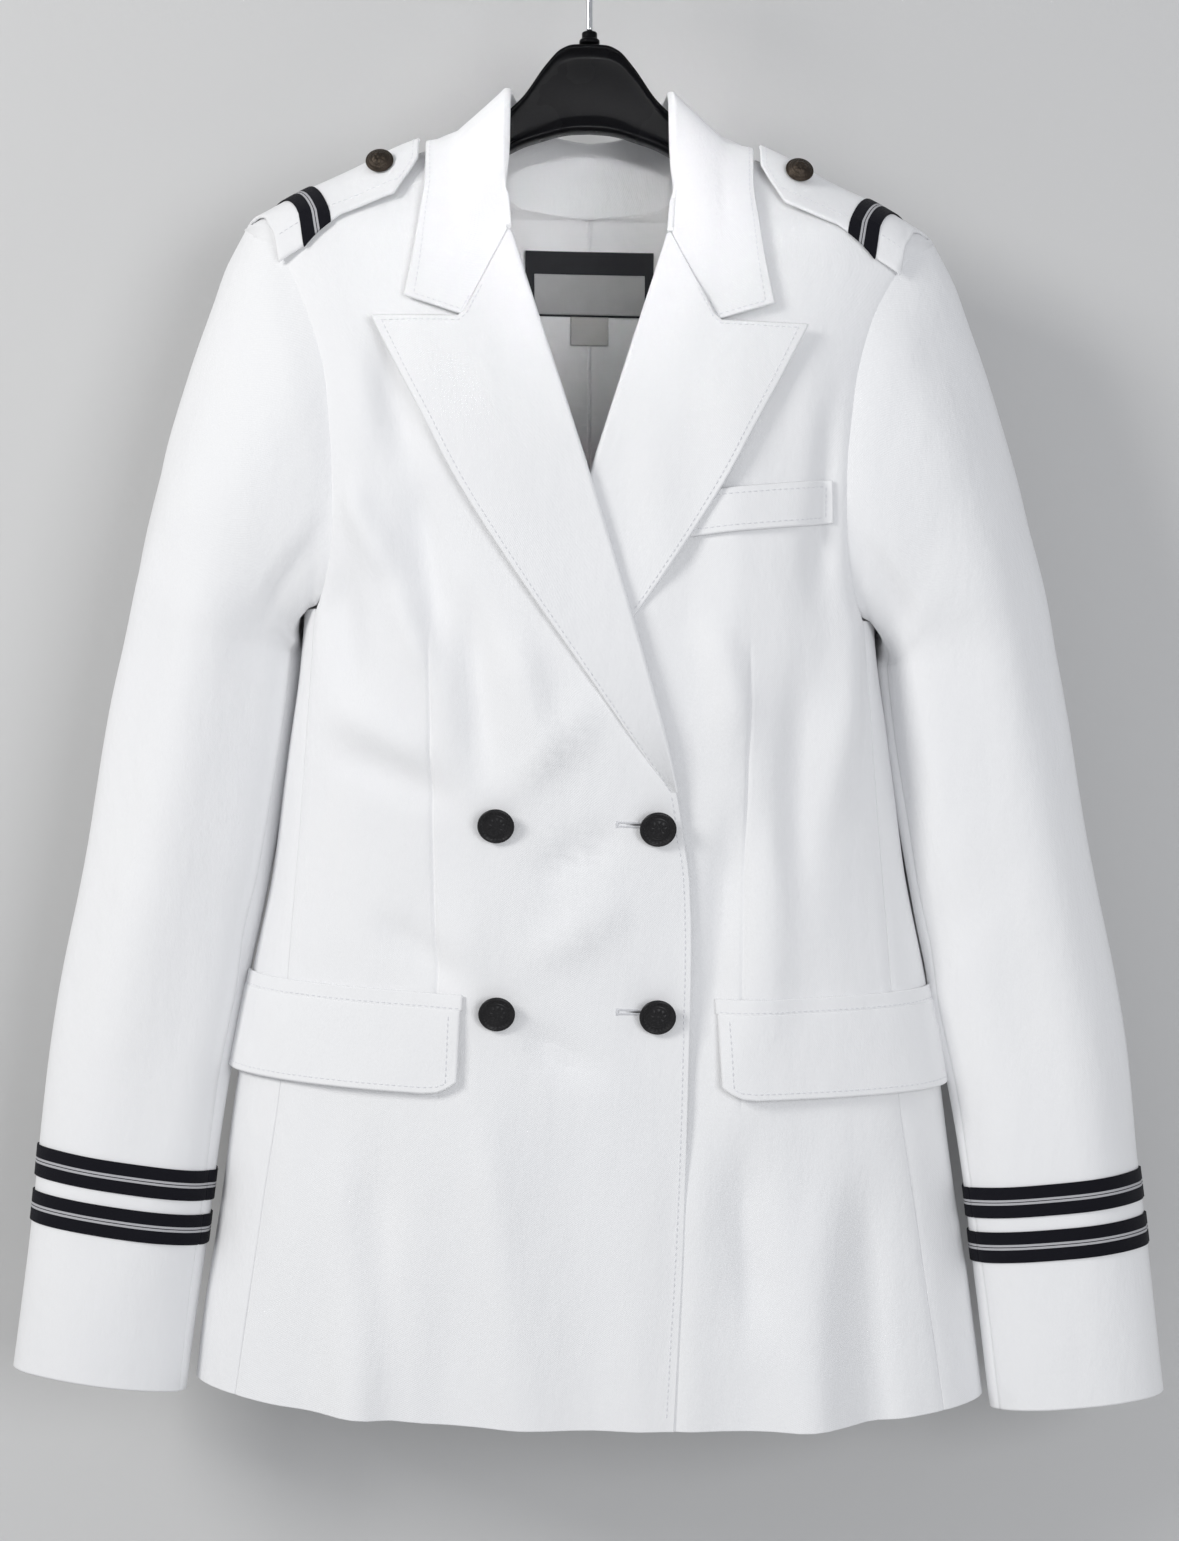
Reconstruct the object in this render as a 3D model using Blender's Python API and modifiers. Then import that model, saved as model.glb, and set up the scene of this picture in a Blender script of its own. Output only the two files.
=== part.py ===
"""A white double-breasted uniform blazer on a black hanger, hanging from the hook's bearing point.

The origin is the underside of the hook's top bend. +Z is up, the fronts face -Y, and +X is the wearer's left.
Numbers are millimetres, and become metres where a mesh is made. On a front, u is the distance out from the
centre line on its own side, so that one set of numbers serves both sides: side -1 is the top front.
"""

import bpy
import numpy as np
from mathutils import Vector

MM = 0.001
WALL = 2.0
SEAM = 0.3
SKEW = 0.022
ROUNDNESS = 2.5

NECK_X, NECK_Z = 62.0, -128.0
TIP_X, TIP_Z = 190.0, -182.0
SHOULDER_CURVE = 1.1
UNDERARM_Z = -391.0
BACK_NECK_Z = -163.0
HEM_Z, HEM_DROP, HEM_RAMP_Z = -810.0, 14.0, -640.0
HEM_X = 217.0
GORGE = (67.0, -238.0)
ROLL_TOP = (43.5, -188.0)
PEAK = (114.3, -238.0)
COLLAR_POINT = (97.4, -228.0)
LAPEL_SPRING = 3.8
COLLAR_SPRING = 5.5
COLLAR_ROLL = 3.0
UNDER_LAPEL_END_Z = -440.0
BUTTON_ROWS = (-504.0, -603.0)
BUTTON_COLUMNS = (-49.0, 35.5)
CUFF_BUTTONS = (0.828, 0.885)
CUFF_BRAIDS = (0.702, 0.762)
BRAID_WIDTH = 16.0
SLEEVE_AXIS = 402.0


def table(columns, *rows):
    """Rows of numbers under their column names, lowest height first."""
    names = columns.split()
    return np.array(sorted(rows), dtype=[(name, float) for name in names])


BODY = table(
    "z half_width front back",
    (-830, 218, 62, 55), (-760, 209, 63, 53), (-700, 200, 64, 50), (-646, 193, 65, 48), (-600, 186, 66, 46),
    (-530, 170, 70, 45), (-486, 163, 74, 46), (-450, 158, 78, 48), (-420, 155, 79, 49), (-391, 155, 78, 50),
    (-350, 161, 74, 51), (-300, 172, 70, 50), (-240, 183, 60, 46), (-182, 190, 41, 42), (-163, 190, 34, 40),
    (-128, 190, 22, 34),
)
FRONT_EDGE = table(
    "z u",
    (-830, -43), (-795, -45), (-701, -50), (-622, -52.5), (-565, -53.5), (-533, -52.5), (-507, -48.8),
    (-494, -47), (-433, -31.4), (-326, 0), (-188, 43.5), (-165, 50), (-146, 56), (-128, 62),
)
SIDE_SEAMS = table(
    "z front back",
    (-830, 193, 150), (-709, 175, 140), (-640, 165, 136), (-585, 161.6, 132), (-486, 154, 126), (-391, 148, 134),
)
ARMHOLE = table(
    "z front back",
    (-391, 148, 134), (-366, 139.5, 141), (-333, 137.5, 147), (-300, 138.5, 149), (-270, 142, 151),
    (-240, 150, 155.5), (-216, 160, 164), (-198, 172, 176), (-182, 190, 190),
)
UNDER_DEPTH = table("z depth", (-830, 3.5), (-540, 3.5), (-470, 5.6), (-310, 5.6), (-230, 0), (-128, 0))
LAPEL_EDGE = table(
    "z u",
    (-491, -46), (-433, -5.2), (-365, 43), (-321.5, 70.3), (-289, 87.4), (-257.6, 104.5), (-238, 114.3),
)
FOLDS = table(
    "z_low z_high face u_low u_high width height off_hem",
    (-830, -640, 1, 119, 96, 17, 6.5, 1), (-830, -680, 1, 152, 140, 12, -3.5, 1), (-830, -700, 1, 78, 74, 16, -3, 1),
    (-420, -215, 1, 139, 112, 13, 3.5, 0), (-640, -520, 1, 72, 64, 13, 2.5, 0),
    (-830, -620, -1, 96, 80, 20, 7, 1), (-830, -660, -1, 136, 128, 14, -4, 1), (-420, -230, -1, 118, 100, 14, 3, 0),
)
SLEEVE = table(
    "along x z y half_width half_depth",
    (0, 207, -409, -1, 47, 42), (51, 216, -460, -3, 47.5, 40), (110, 225, -519, -5, 47.5, 37),
    (171, 236, -580, -7, 47.5, 34), (237, 247.5, -646, -10, 46.5, 31), (325, 258, -734, -13, 46.5, 28),
    (402, 266, -811, -14, 47, 26),
)
HANGER = table(
    "x top bottom half_depth",
    (0, -77, -125, 7), (9, -77.5, -125.5, 7), (15.5, -80, -126.5, 7), (24, -89, -129, 7), (36, -106, -133, 7),
    (47.3, -117.5, -139, 7.5), (55, -127.5, -144, 8), (62, -133, -151, 8), (90, -141.1, -168, 9), (130, -157.9, -188, 10),
    (165, -173.6, -202, 10), (174, -182, -200, 8),
)
LEVELS = (-810, -765, -715, -665, -622, -585, -530, -486, -440, -391)
ARM_LEVELS = (-366, -333, -300, -270, -240, -216, -198, -182)
SHOULDER_LEVELS = (-170, -158, -146, -136, -129.5)

STATIONS = table(
    "order roll_x roll_y roll_z neck_x neck_z neck_face",
    (0, 46.6, -34.5, -150, 54.6, -150, 1), (1, 47.3, -26, -127, 60.5, -133, 1), (2, 47.5, -14, -108, 61.8, -129, 1),
    (3, 47.5, -2, -103.5, 61.8, -129, -1), (4, 45, 15, -107, 59, -135.5, -1), (5, 34, 31, -116, 50, -151, -1),
    (6, 18, 39.5, -122, 30, -162, -1), (7, 0, 42, -124, 0, -163, -1),
)
ROLL_START = (44.8, -39.5, -170.0)
COLLAR_EDGE = table(
    "order u z face",
    (0, 97.4, -228, 1), (1, 93, -203, 1), (2, 90, -180, 1), (3, 87.5, -160, 1), (4, 87, -138.5, 1),
    (5, 84, -150, -1), (6, 68, -164, -1), (7, 38, -172, -1), (8, 0, -176, -1),
)


def curve(at, places, values):
    """A smooth curve through the values that never overshoots them (a monotone cubic)."""
    places, values = np.asarray(places, float), np.asarray(values, float)
    run = np.diff(places)
    slope = np.diff(values) / run
    tangent = np.zeros_like(values)
    tangent[0], tangent[-1] = slope[0], slope[-1]
    product = slope[:-1] * slope[1:]
    same = product > 0
    tangent[1:-1][same] = 2 * product[same] / (slope[:-1] + slope[1:])[same]
    k = np.clip(np.searchsorted(places, at, side="right") - 1, 0, len(run) - 1)
    t = np.clip((at - places[k]) / run[k], 0, 1)
    start = (2 * t**3 - 3 * t**2 + 1) * values[k] + (t**3 - 2 * t**2 + t) * run[k] * tangent[k]
    return start + (3 * t**2 - 2 * t**3) * values[k + 1] + (t**3 - t**2) * run[k] * tangent[k + 1]


def read(rows, column, at):
    first = rows.dtype.names[0]
    return curve(np.asarray(at, float), rows[first], rows[column])


def ease(t):
    t = np.clip(t, 0, 1)
    return t * t * (3 - 2 * t)


def shoulder_z(x):
    """Height of the shoulder seam at x."""
    return NECK_Z + (TIP_Z - NECK_Z) * np.clip((x - NECK_X) / (TIP_X - NECK_X), 0, 1) ** SHOULDER_CURVE


def half_width(z):
    fall = np.clip((z - NECK_Z) / (TIP_Z - NECK_Z), 0, 1)
    return np.where(z > TIP_Z, NECK_X + (TIP_X - NECK_X) * fall ** (1 / SHOULDER_CURVE), read(BODY, "half_width", z))


def fold_height(x, z, face):
    """Soft ridges and troughs: a bell across, growing to the hem or dying out at both ends."""
    total = np.zeros(np.broadcast(x, z).shape)
    for fold in FOLDS:
        t = (z - fold["z_high"]) / (fold["z_low"] - fold["z_high"])
        centre = fold["u_high"] + (fold["u_low"] - fold["u_high"]) * t
        along = ease(t) if fold["off_hem"] else np.sin(np.pi * np.clip(t, 0, 1)) ** 2
        across = np.exp(-(((np.abs(x) - centre) / fold["width"]) ** 2))
        total = total + np.where(face == fold["face"], fold["height"] * along * across, 0)
    return total


def body_point(angle, z):
    """The body's outer surface: at each height a rounded oblong, wider than deep, deeper in front."""
    sine, cosine = np.sin(angle), np.cos(angle)
    x = half_width(z) * np.sign(sine) * np.abs(sine) ** (2 / ROUNDNESS)
    reach = np.abs(cosine) ** (2 / ROUNDNESS)
    front = read(BODY, "front", z) + fold_height(x, z, 1)
    back = read(BODY, "back", z) + fold_height(x, z, -1)
    return np.stack([x, np.where(cosine > 0, -front, back) * reach, z + 0 * x], axis=-1)


def unit(vectors):
    return vectors / np.maximum(np.linalg.norm(vectors, axis=-1, keepdims=True), 1e-9)


def on_body(angle, z, lift=0.0):
    """A point of the body, moved out along its normal by lift."""
    turn, rise = 0.004, 0.4
    across = body_point(angle + turn, z) - body_point(angle - turn, z)
    up = body_point(angle, z + rise) - body_point(angle, z - rise)
    return body_point(angle, z) + unit(np.cross(across, up)) * np.asarray(lift)[..., None]


def front_angle(u, z):
    return np.sign(u) * np.arcsin(np.clip(np.abs(u) / half_width(z), 0, 1) ** (ROUNDNESS / 2))


def back_angle(x, z):
    return np.pi - front_angle(x, z)


def under_drop(side, u, z):
    """How far the under front lies below the top one, blended out beyond the overlap."""
    if side < 0:
        return 0.0 * u
    return -read(UNDER_DEPTH, "depth", z) * (1 - ease((u - 50) / 30))


def on_front(side, u, z, lift=0.0):
    lift = lift + under_drop(side, u, z)
    return on_body(front_angle(u, z), z, lift) * (side, 1, 1)


def hem_height(level, angle):
    """The hem hangs lower in front: rows near it follow it, rows well above stay level."""
    x = body_point(angle, level)[..., 0]
    drop = HEM_DROP * (1 - np.clip(np.abs(x) / HEM_X, 0, 1) ** 3) * (np.cos(angle) > 0)
    return level - drop * ease((HEM_RAMP_Z - level) / (HEM_RAMP_Z - HEM_Z))


def to_metres(points):
    """Hung a little askew, lower on the wearer's left."""
    skewed = points.copy()
    skewed[..., 2] -= SKEW * points[..., 0]
    return skewed * MM


parts = bpy.data.collections.new("uniform_blazer_on_hanger")


def material(name, colour, roughness, metallic=0.0):
    made = bpy.data.materials.new(name)
    made.use_nodes = True
    shader = made.node_tree.nodes["Principled BSDF"]
    shader.inputs["Base Color"].default_value = (*colour, 1)
    shader.inputs["Roughness"].default_value = roughness
    shader.inputs["Metallic"].default_value = metallic
    return made


def add(name, mesh, finish):
    made = bpy.data.objects.new(name, mesh)
    made.data.materials.append(finish)
    parts.objects.link(made)
    return made


def grid_faces(rows, columns, round_=False):
    i, j = np.meshgrid(np.arange(rows - 1), np.arange(columns if round_ else columns - 1), indexing="ij")
    k = (j + 1) % columns
    corners = (i * columns + j, i * columns + k, (i + 1) * columns + k, (i + 1) * columns + j)
    return np.stack(corners, axis=-1).reshape(-1, 4)


# A face turned over starts at the same corner, so that the two sides of the jacket split into the same triangles.
TURNED = [0, 3, 2, 1]


def add_wall(name, outer, inner, finish, round_=False):
    """Cloth lofted between an outer and an inner set of sections, closed along its edges."""
    rows, columns = outer.shape[:2]
    count = rows * columns
    sheet = grid_faces(rows, columns, round_)
    index = np.arange(count).reshape(rows, columns)
    if round_:
        loops = [np.append(index[0], index[0, 0]), np.append(index[-1], index[-1, 0])[::-1]]
    else:
        ring = [index[0], index[1:, -1], index[-1, -2::-1], index[-2::-1, 0]]
        loops = [np.concatenate(ring)]
    rims = [np.stack([edge[1:], edge[:-1], edge[:-1] + count, edge[1:] + count], axis=-1) for edge in loops]
    faces = np.concatenate([sheet, sheet[:, TURNED] + count, *rims])
    points = np.concatenate([to_metres(outer).reshape(-1, 3), to_metres(inner).reshape(-1, 3)])
    corners = points[faces]
    normals = np.cross(corners[:, 2] - corners[:, 0], corners[:, 3] - corners[:, 1])
    if (corners.mean(axis=1) * normals).sum() < 0:
        faces = faces[:, TURNED]
    mesh = bpy.data.meshes.new(name)
    mesh.from_pydata(points.tolist(), [], faces.tolist())
    mesh.shade_smooth()
    return add(name, mesh, finish)


def normals_of(points):
    """Normals of a grid of points, from its own rows and columns."""
    return unit(np.cross(np.gradient(points, axis=1), np.gradient(points, axis=0)))


def add_sheet(name, points, finish, thickness=WALL, outward=(0, -1, 0)):
    """A flat or folded piece: an open surface whose thickness goes inward."""
    faces = grid_faces(*points.shape[:2])
    facing = (normals_of(points) * outward).sum()
    mesh = bpy.data.meshes.new(name)
    mesh.from_pydata(to_metres(points).reshape(-1, 3).tolist(), [], (faces if facing > 0 else faces[:, TURNED]).tolist())
    mesh.shade_smooth()
    made = add(name, mesh, finish)
    solidify = made.modifiers.new("thickness", "SOLIDIFY")
    solidify.thickness = thickness * MM
    solidify.offset = -1
    return made


def drawn_in(low, high, columns, z, gap=SEAM / 2):
    """Angles across a panel at each level, stopping half a seam short of both edges."""
    length = np.linalg.norm(body_point(high, z) - body_point(low, z), axis=-1)
    share = gap / np.maximum(length, 1)
    t = np.linspace(0, 1, columns)[None, :]
    low, high = low + (high - low) * share, high - (high - low) * share
    return low[:, None] * (1 - t) + high[:, None] * t


def front(side, name, finish):
    z = np.array(LEVELS + ARM_LEVELS + SHOULDER_LEVELS, float)
    outer_u = np.where(z <= UNDERARM_Z, read(SIDE_SEAMS, "front", z), read(ARMHOLE, "front", z))
    inner = front_angle(read(FRONT_EDGE, "u", z), z)
    outer = np.where(z > TIP_Z - 1, np.pi / 2, front_angle(outer_u, z))
    angle = drawn_in(inner, outer, 9, z)
    height = hem_height(np.repeat(z[:, None], 9, axis=1), angle)
    u = body_point(angle, height)[..., 0]
    lift = under_drop(side, u, height)
    walls = [on_body(angle, height, lift - depth) * (side, 1, 1) for depth in (0, WALL)]
    return add_wall(name, *walls, finish)


def side_panel(side, name, finish):
    z = np.array(LEVELS, float)
    z[-1] -= 3 * SEAM
    low = front_angle(read(SIDE_SEAMS, "front", z), z)
    high = back_angle(read(SIDE_SEAMS, "back", z), z)
    angle = drawn_in(low, high, 7, z)
    height = hem_height(np.repeat(z[:, None], 7, axis=1), angle)
    return add_wall(name, *(on_body(angle, height, 0 * height - d) * (side, 1, 1) for d in (0, WALL)), finish)


def back(side, name, finish):
    z = np.array(LEVELS + ARM_LEVELS + SHOULDER_LEVELS, float)
    outer_x = np.where(z <= UNDERARM_Z, read(SIDE_SEAMS, "back", z), read(ARMHOLE, "back", z))
    outer = np.where(z > TIP_Z - 1, np.pi / 2, back_angle(outer_x, z))
    neck = NECK_X * np.clip((z - BACK_NECK_Z) / (NECK_Z - BACK_NECK_Z), 0, 1) ** 0.2
    angle = drawn_in(outer, back_angle(neck, z), 7, z)
    angle[:, -1] = np.where(neck == 0, back_angle(SEAM / 2, z), angle[:, -1])
    height = np.repeat(z[:, None], 7, axis=1)
    return add_wall(name, *(on_body(angle, height, 0 * height - d) * (side, 1, 1) for d in (0, WALL)), finish)


def armhole_ring():
    """The armhole's points, from the shoulder tip down the front, under the arm and up the back."""
    z = np.array(ARM_LEVELS[::-1] + (UNDERARM_Z,), float)
    down = front_angle(read(ARMHOLE, "front", z), z)
    down[0] = np.pi / 2
    low = down[-1]
    up = back_angle(read(ARMHOLE, "back", z), z)
    under = np.linspace(low, up[-1], 7)[1:-1]
    angles = np.concatenate([down, under, up[:0:-1]])
    heights = np.concatenate([z, np.full(5, UNDERARM_Z), z[:0:-1]])
    return angles, heights


FRONT_SEAM, BACK_SEAM = 9, 18
TURNS = np.radians(np.concatenate([np.linspace(0, 150, 9), np.linspace(160, 205, 6), (225, 250, 275, 300, 320, 334, 348)]))


def sleeve_ring(along, turn):
    """An oval square to the sleeve's axis; along runs down the axis from the top of the arm."""
    centre = np.stack([read(SLEEVE, "x", along), read(SLEEVE, "y", along), read(SLEEVE, "z", along)], axis=-1)
    step = 8.0
    axis_x = read(SLEEVE, "x", along + step) - read(SLEEVE, "x", along - step)
    axis_z = read(SLEEVE, "z", along + step) - read(SLEEVE, "z", along - step)
    axis = unit(np.stack([axis_x, 0 * axis_x, axis_z], axis=-1))
    wide = np.stack([-axis[..., 2], axis[..., 1], axis[..., 0]], axis=-1)
    across = read(SLEEVE, "half_width", along) * np.cos(turn)
    deep = -read(SLEEVE, "half_depth", along) * np.sin(turn)
    return centre + wide * across[..., None] + deep[..., None] * np.array([0, 1.0, 0])


def sleeve_point(column, t):
    """A sleeve's outer surface: from the armhole (t = -1) over the cap to t = 0, then down to the cuff at t = 1."""
    angles, heights = armhole_ring()
    places = np.arange(len(angles) + 1)
    angle = curve(column, places, np.append(angles, angles[0]))
    turn = curve(column, places, np.append(TURNS, 2 * np.pi))
    height = curve(column, places, np.append(heights, heights[0]))
    start = on_body(angle, height, 0 * height)
    below = sleeve_ring(np.clip(t, 0, 1) * SLEEVE_AXIS, turn)
    top = sleeve_ring(0 * t, turn)
    gap = top - start
    length = np.linalg.norm(gap, axis=-1, keepdims=True)
    lean = np.stack([0.15 + 0.1 * np.abs(np.sin(turn)), -0.3 * np.sin(turn), 0 * turn], axis=-1)
    lean = np.where(np.cos(turn)[..., None] > -0.5, lean, (0.6, 0, 0))
    leave = 0.9 * gap + lean * length
    arrive = length * np.array([0.17, 0, -0.985]) * 0.95
    s = np.clip(t + 1, 0, 1)[..., None]
    cap = (2 * s**3 - 3 * s**2 + 1) * start + (s**3 - 2 * s**2 + s) * leave
    cap = cap + (3 * s**2 - 2 * s**3) * top + (s**3 - s**2) * arrive
    return np.where(t[..., None] < 0, cap, below)


def on_sleeve(column, t, lift=0.0):
    """A point of the sleeve, moved out from its axis side by lift."""
    along, down = 0.05, 0.004
    across = sleeve_point((column + along) % 22, t) - sleeve_point((column - along) % 22, t)
    drop = sleeve_point(column, np.clip(t + down, -1, 1)) - sleeve_point(column, np.clip(t - down, -1, 1))
    return sleeve_point(column, t) + unit(np.cross(across, drop)) * np.asarray(lift)[..., None]


SLEEVE_STEPS = np.array([-0.994, -0.9, -0.76, -0.6, -0.4, -0.2, 0, 0.13, 0.27, 0.42, 0.58, 0.72, 0.86, 1.0])


def sleeve_part(side, columns, name, finish):
    column = np.asarray(columns, float)
    column[0] += 0.012
    column[-1] -= 0.012
    column, t = np.meshgrid(column, SLEEVE_STEPS)
    return add_wall(name, *(on_sleeve(column % 22, t, 0 * t - depth) * (side, 1, 1) for depth in (0, WALL)), finish)


def lapel(side, name, finish):
    """Rows run from the roll line to the outer edge, and bend at the top to follow the gorge and the peak's edge."""
    lowest = -486.0 if side < 0 else UNDER_LAPEL_END_Z
    corner = np.hypot(*(np.subtract(GORGE, ROLL_TOP)))
    corner = corner / (corner + PEAK[0] - GORGE[0])
    s = np.array([0.012, 0.5 * corner, corner, 0.5 + 0.5 * corner, 0.8 + 0.2 * corner, 1.0])
    t = np.linspace(0, 0.998, 12)
    s, t = np.meshgrid(s, t)
    roll_z = lowest + (ROLL_TOP[1] - lowest) * t
    edge_z = lowest + (PEAK[1] - lowest) * t
    roll = np.stack([read(FRONT_EDGE, "u", roll_z), roll_z], axis=-1)
    edge = np.stack([read(LAPEL_EDGE, "u", edge_z), edge_z], axis=-1)
    top_u = np.interp(s, (0, corner, 1), (ROLL_TOP[0], GORGE[0], PEAK[0]))
    top_z = np.interp(s, (0, corner, 1), (ROLL_TOP[1], GORGE[1], PEAK[1]))
    straight = (1 - s)[..., None] * ROLL_TOP + s[..., None] * PEAK
    bend = (np.stack([top_u, top_z], axis=-1) - straight) * (t**3)[..., None]
    flat = (1 - s)[..., None] * roll + s[..., None] * edge + bend
    u, z = flat[..., 0], flat[..., 1]
    lift = lapel_lift(side, u, z)
    return add_wall(name, on_front(side, u, z, lift), on_front(side, u, z, lift - WALL), finish)


def lapel_lift(side, u, z):
    """Close to the front at the roll line, standing off towards the edge; flat where the top front covers it."""
    roll = read(FRONT_EDGE, "u", z)
    if side < 0:
        return 2.5 + LAPEL_SPRING * ease((u - roll) / 70)
    return 2.5 + LAPEL_SPRING * ease((u + roll - 8) / 30) * ease((u - roll) / 40)


def smooth_path(points, t):
    """A smooth curve through points, t from 0 to 1 by length."""
    length = np.append(0, np.cumsum(np.linalg.norm(np.diff(points, axis=0), axis=1)))
    return np.stack([curve(t * length[-1], length, points[:, k]) for k in range(3)], axis=-1)


def collar_curves():
    """The roll line and the fall's outer edge, from the gorge round to the centre back, on one side."""
    gorge_top = on_front(-1, np.array([ROLL_TOP[0]]), np.array([ROLL_TOP[1]]), 2.5) * (-1, 1, 1)
    rolls = np.stack([STATIONS["roll_x"], STATIONS["roll_y"], STATIONS["roll_z"]], axis=-1)
    roll = np.concatenate([gorge_top, [ROLL_START], rolls])
    u, z = COLLAR_EDGE["u"], COLLAR_EDGE["z"]
    angle = np.where(COLLAR_EDGE["face"] > 0, front_angle(u, z), back_angle(u, z))
    edge = on_body(angle, z, 5.0 + 0 * z)
    return roll, edge


def collar_half():
    """A patch between the roll line, the edge, the gorge with the notch, and the centre back."""
    roll, edge = collar_curves()
    corner = np.hypot(*np.subtract(GORGE, ROLL_TOP))
    corner = corner / (corner + np.hypot(*np.subtract(COLLAR_POINT, GORGE)))
    r = np.array([0, 0.5 * corner, corner, 0.5 + 0.5 * corner, 1.0])
    q = np.array([0.008, 0.07, 0.14, 0.22, 0.3, 0.38, 0.47, 0.56, 0.66, 0.77, 0.89, 1.0])
    q, r = np.meshgrid(q, r, indexing="ij")
    end_u = np.interp(r, (0, corner, 1), (ROLL_TOP[0], GORGE[0], COLLAR_POINT[0]))
    end_z = np.interp(r, (0, corner, 1), (ROLL_TOP[1], GORGE[1], COLLAR_POINT[1]))
    end_lift = 2.5 + 2.5 * ease((end_u - ROLL_TOP[0]) / 50)
    end = on_front(-1, end_u, end_z, end_lift) * (-1, 1, 1)
    r_ = r[..., None]
    sides = (1 - r_) * smooth_path(roll, q) + r_ * smooth_path(edge, q)
    straight = (1 - r_) * end[0, 0] + r_ * end[0, -1]
    return sides + (end - straight) * ((1 - q) ** 3)[..., None]


def clear_of_body(points, inner_gap):
    """Lifts points off the shoulders, fronts and back until they are inner_gap clear."""
    x, y, z = np.abs(points[..., 0]), points[..., 1], points[..., 2]
    on_top = (x > NECK_X - 12) & (np.abs(y) < 40)
    roof = on_shoulder(np.maximum(x, NECK_X + 1), y, inner_gap + 0 * z)[..., 2] + COLLAR_SPRING
    points[..., 2] = z = np.where(on_top & (z < roof), roof, z)
    over = (z < shoulder_z(x) - 1) & (x < half_width(z))
    for sign, angle in ((-1, front_angle(x, z)), (1, back_angle(x, z))):
        surface = on_body(angle, z, inner_gap + 0 * z)[..., 1]
        here = over & (np.sign(points[..., 1]) == sign)
        y = points[..., 1]
        points[..., 1] = np.where(here & (sign * y < sign * surface), surface, y)
    return points


def mirrored(half):
    """Both halves as one grid, from the wearer's right gorge round the back to the left one."""
    return np.concatenate([half * (-1, 1, 1), half[-2::-1]])


def collar_fall(finish):
    """The part of the collar that turns over and lies on the fronts, shoulders and back."""
    half = clear_of_body(collar_half(), WALL + 1.0)
    whole = mirrored(half)
    normals = normals_of(whole)
    outward = np.sign((normals * (whole - (0, 0, -200))).sum())
    around = np.abs(np.linspace(1, -1, len(whole)))[:, None, None]
    across = np.linspace(0, 1, whole.shape[1])[None, :, None]
    whole = whole + outward * normals * COLLAR_ROLL * 4 * across * (1 - across) * (1 - around**4)
    return add_wall("collar_fall", whole, whole - outward * WALL * normals, finish)


def collar_stand(finish):
    """The upright part inside the neck, from the neck seam to just under the fold."""
    q = np.linspace(0, 1, 10)
    roll = smooth_path(np.stack([STATIONS["roll_x"], STATIONS["roll_y"], STATIONS["roll_z"]], axis=-1), q)
    x, z = STATIONS["neck_x"], STATIONS["neck_z"]
    angle = np.where(STATIONS["neck_face"] > 0, front_angle(x, z), back_angle(x, z))
    neck = smooth_path(on_body(angle, z, -0.2 + 0 * z), q)
    roll = roll * (0.9, 0.88, 1)
    rise = unit(roll - neck)
    low, high = neck + rise * 1.0, roll - rise * 4.6
    half = np.stack([low + (high - low) * k for k in (0, 0.5, 1)], axis=1)
    whole = mirrored(half)
    normals = normals_of(whole)
    outward = np.sign((normals * (whole - (0, 0, -200)) * (1, 1, 0)).sum())
    return add_wall("collar_stand", whole, whole - outward * 1.6 * normals, finish)


FLAP_INNER_U, FLAP_END = 68.0, np.radians(84)
FLAP_TOP = (-595.5, -588.0)
WELT_HEIGHT, FLAP_HEIGHT, FLAP_CORNER = 7.4, 52.0, 6.0


def flap_grid(side, shares, top, bottom, lifts, corner=0.0):
    """Points over the pocket: shares run along it, from the front end round to the side."""
    start = front_angle(np.array(FLAP_INNER_U), np.array(-600.0))
    s, v = np.meshgrid(shares, np.linspace(0, 1, len(lifts)))
    angle = start + (FLAP_END - start) * s
    rounding = corner * (1 - np.clip(s / 0.06, 0, 1)) ** 2
    upper = FLAP_TOP[0] + (FLAP_TOP[1] - FLAP_TOP[0]) * s - top
    z = upper - v * (bottom - top - rounding)
    u = body_point(angle, z)[..., 0]
    lift = np.array(lifts)[:, None] + 0 * s + under_drop(side, u, z)
    return on_body(angle, z, lift) * (side, 1, 1)


def pocket(side, word, finish):
    shares = np.array([0, 0.02, 0.06, 0.2, 0.36, 0.52, 0.68, 0.84, 1])
    flap = flap_grid(side, shares, WELT_HEIGHT + SEAM, FLAP_HEIGHT, (2.6, 3.2, 4.4, 5.2), FLAP_CORNER)
    add_sheet(f"pocket_flap_{word}", flap, finish, outward=(side, -1, 0))
    welt = flap_grid(side, shares[2:], 0, WELT_HEIGHT, (2.0, 2.4))
    add_sheet(f"pocket_welt_{word}", welt, finish, 1.6, outward=(side, -1, 0))


def breast_welt(finish):
    s, v = np.meshgrid(np.linspace(0, 1, 6), (0, 1))
    u = 47 + (129.5 - 47) * s
    z = (-329 + 9.7 * s) * (1 - v) + (-351.6 + 10.2 * s) * v
    points = on_front(1, u, z, 3.0 + 0 * u)
    return add_sheet("breast_welt", points, finish, 1.7)


STRAP_LOW_Y, STRAP_HIGH_Y, STRAP_NECK_X, STRAP_END_X = -28.0, 5.0, 93.0, 187.0
STRAP_BUTTON = (111.0, -11.5)
STRAP_RISE = 3.5


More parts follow.
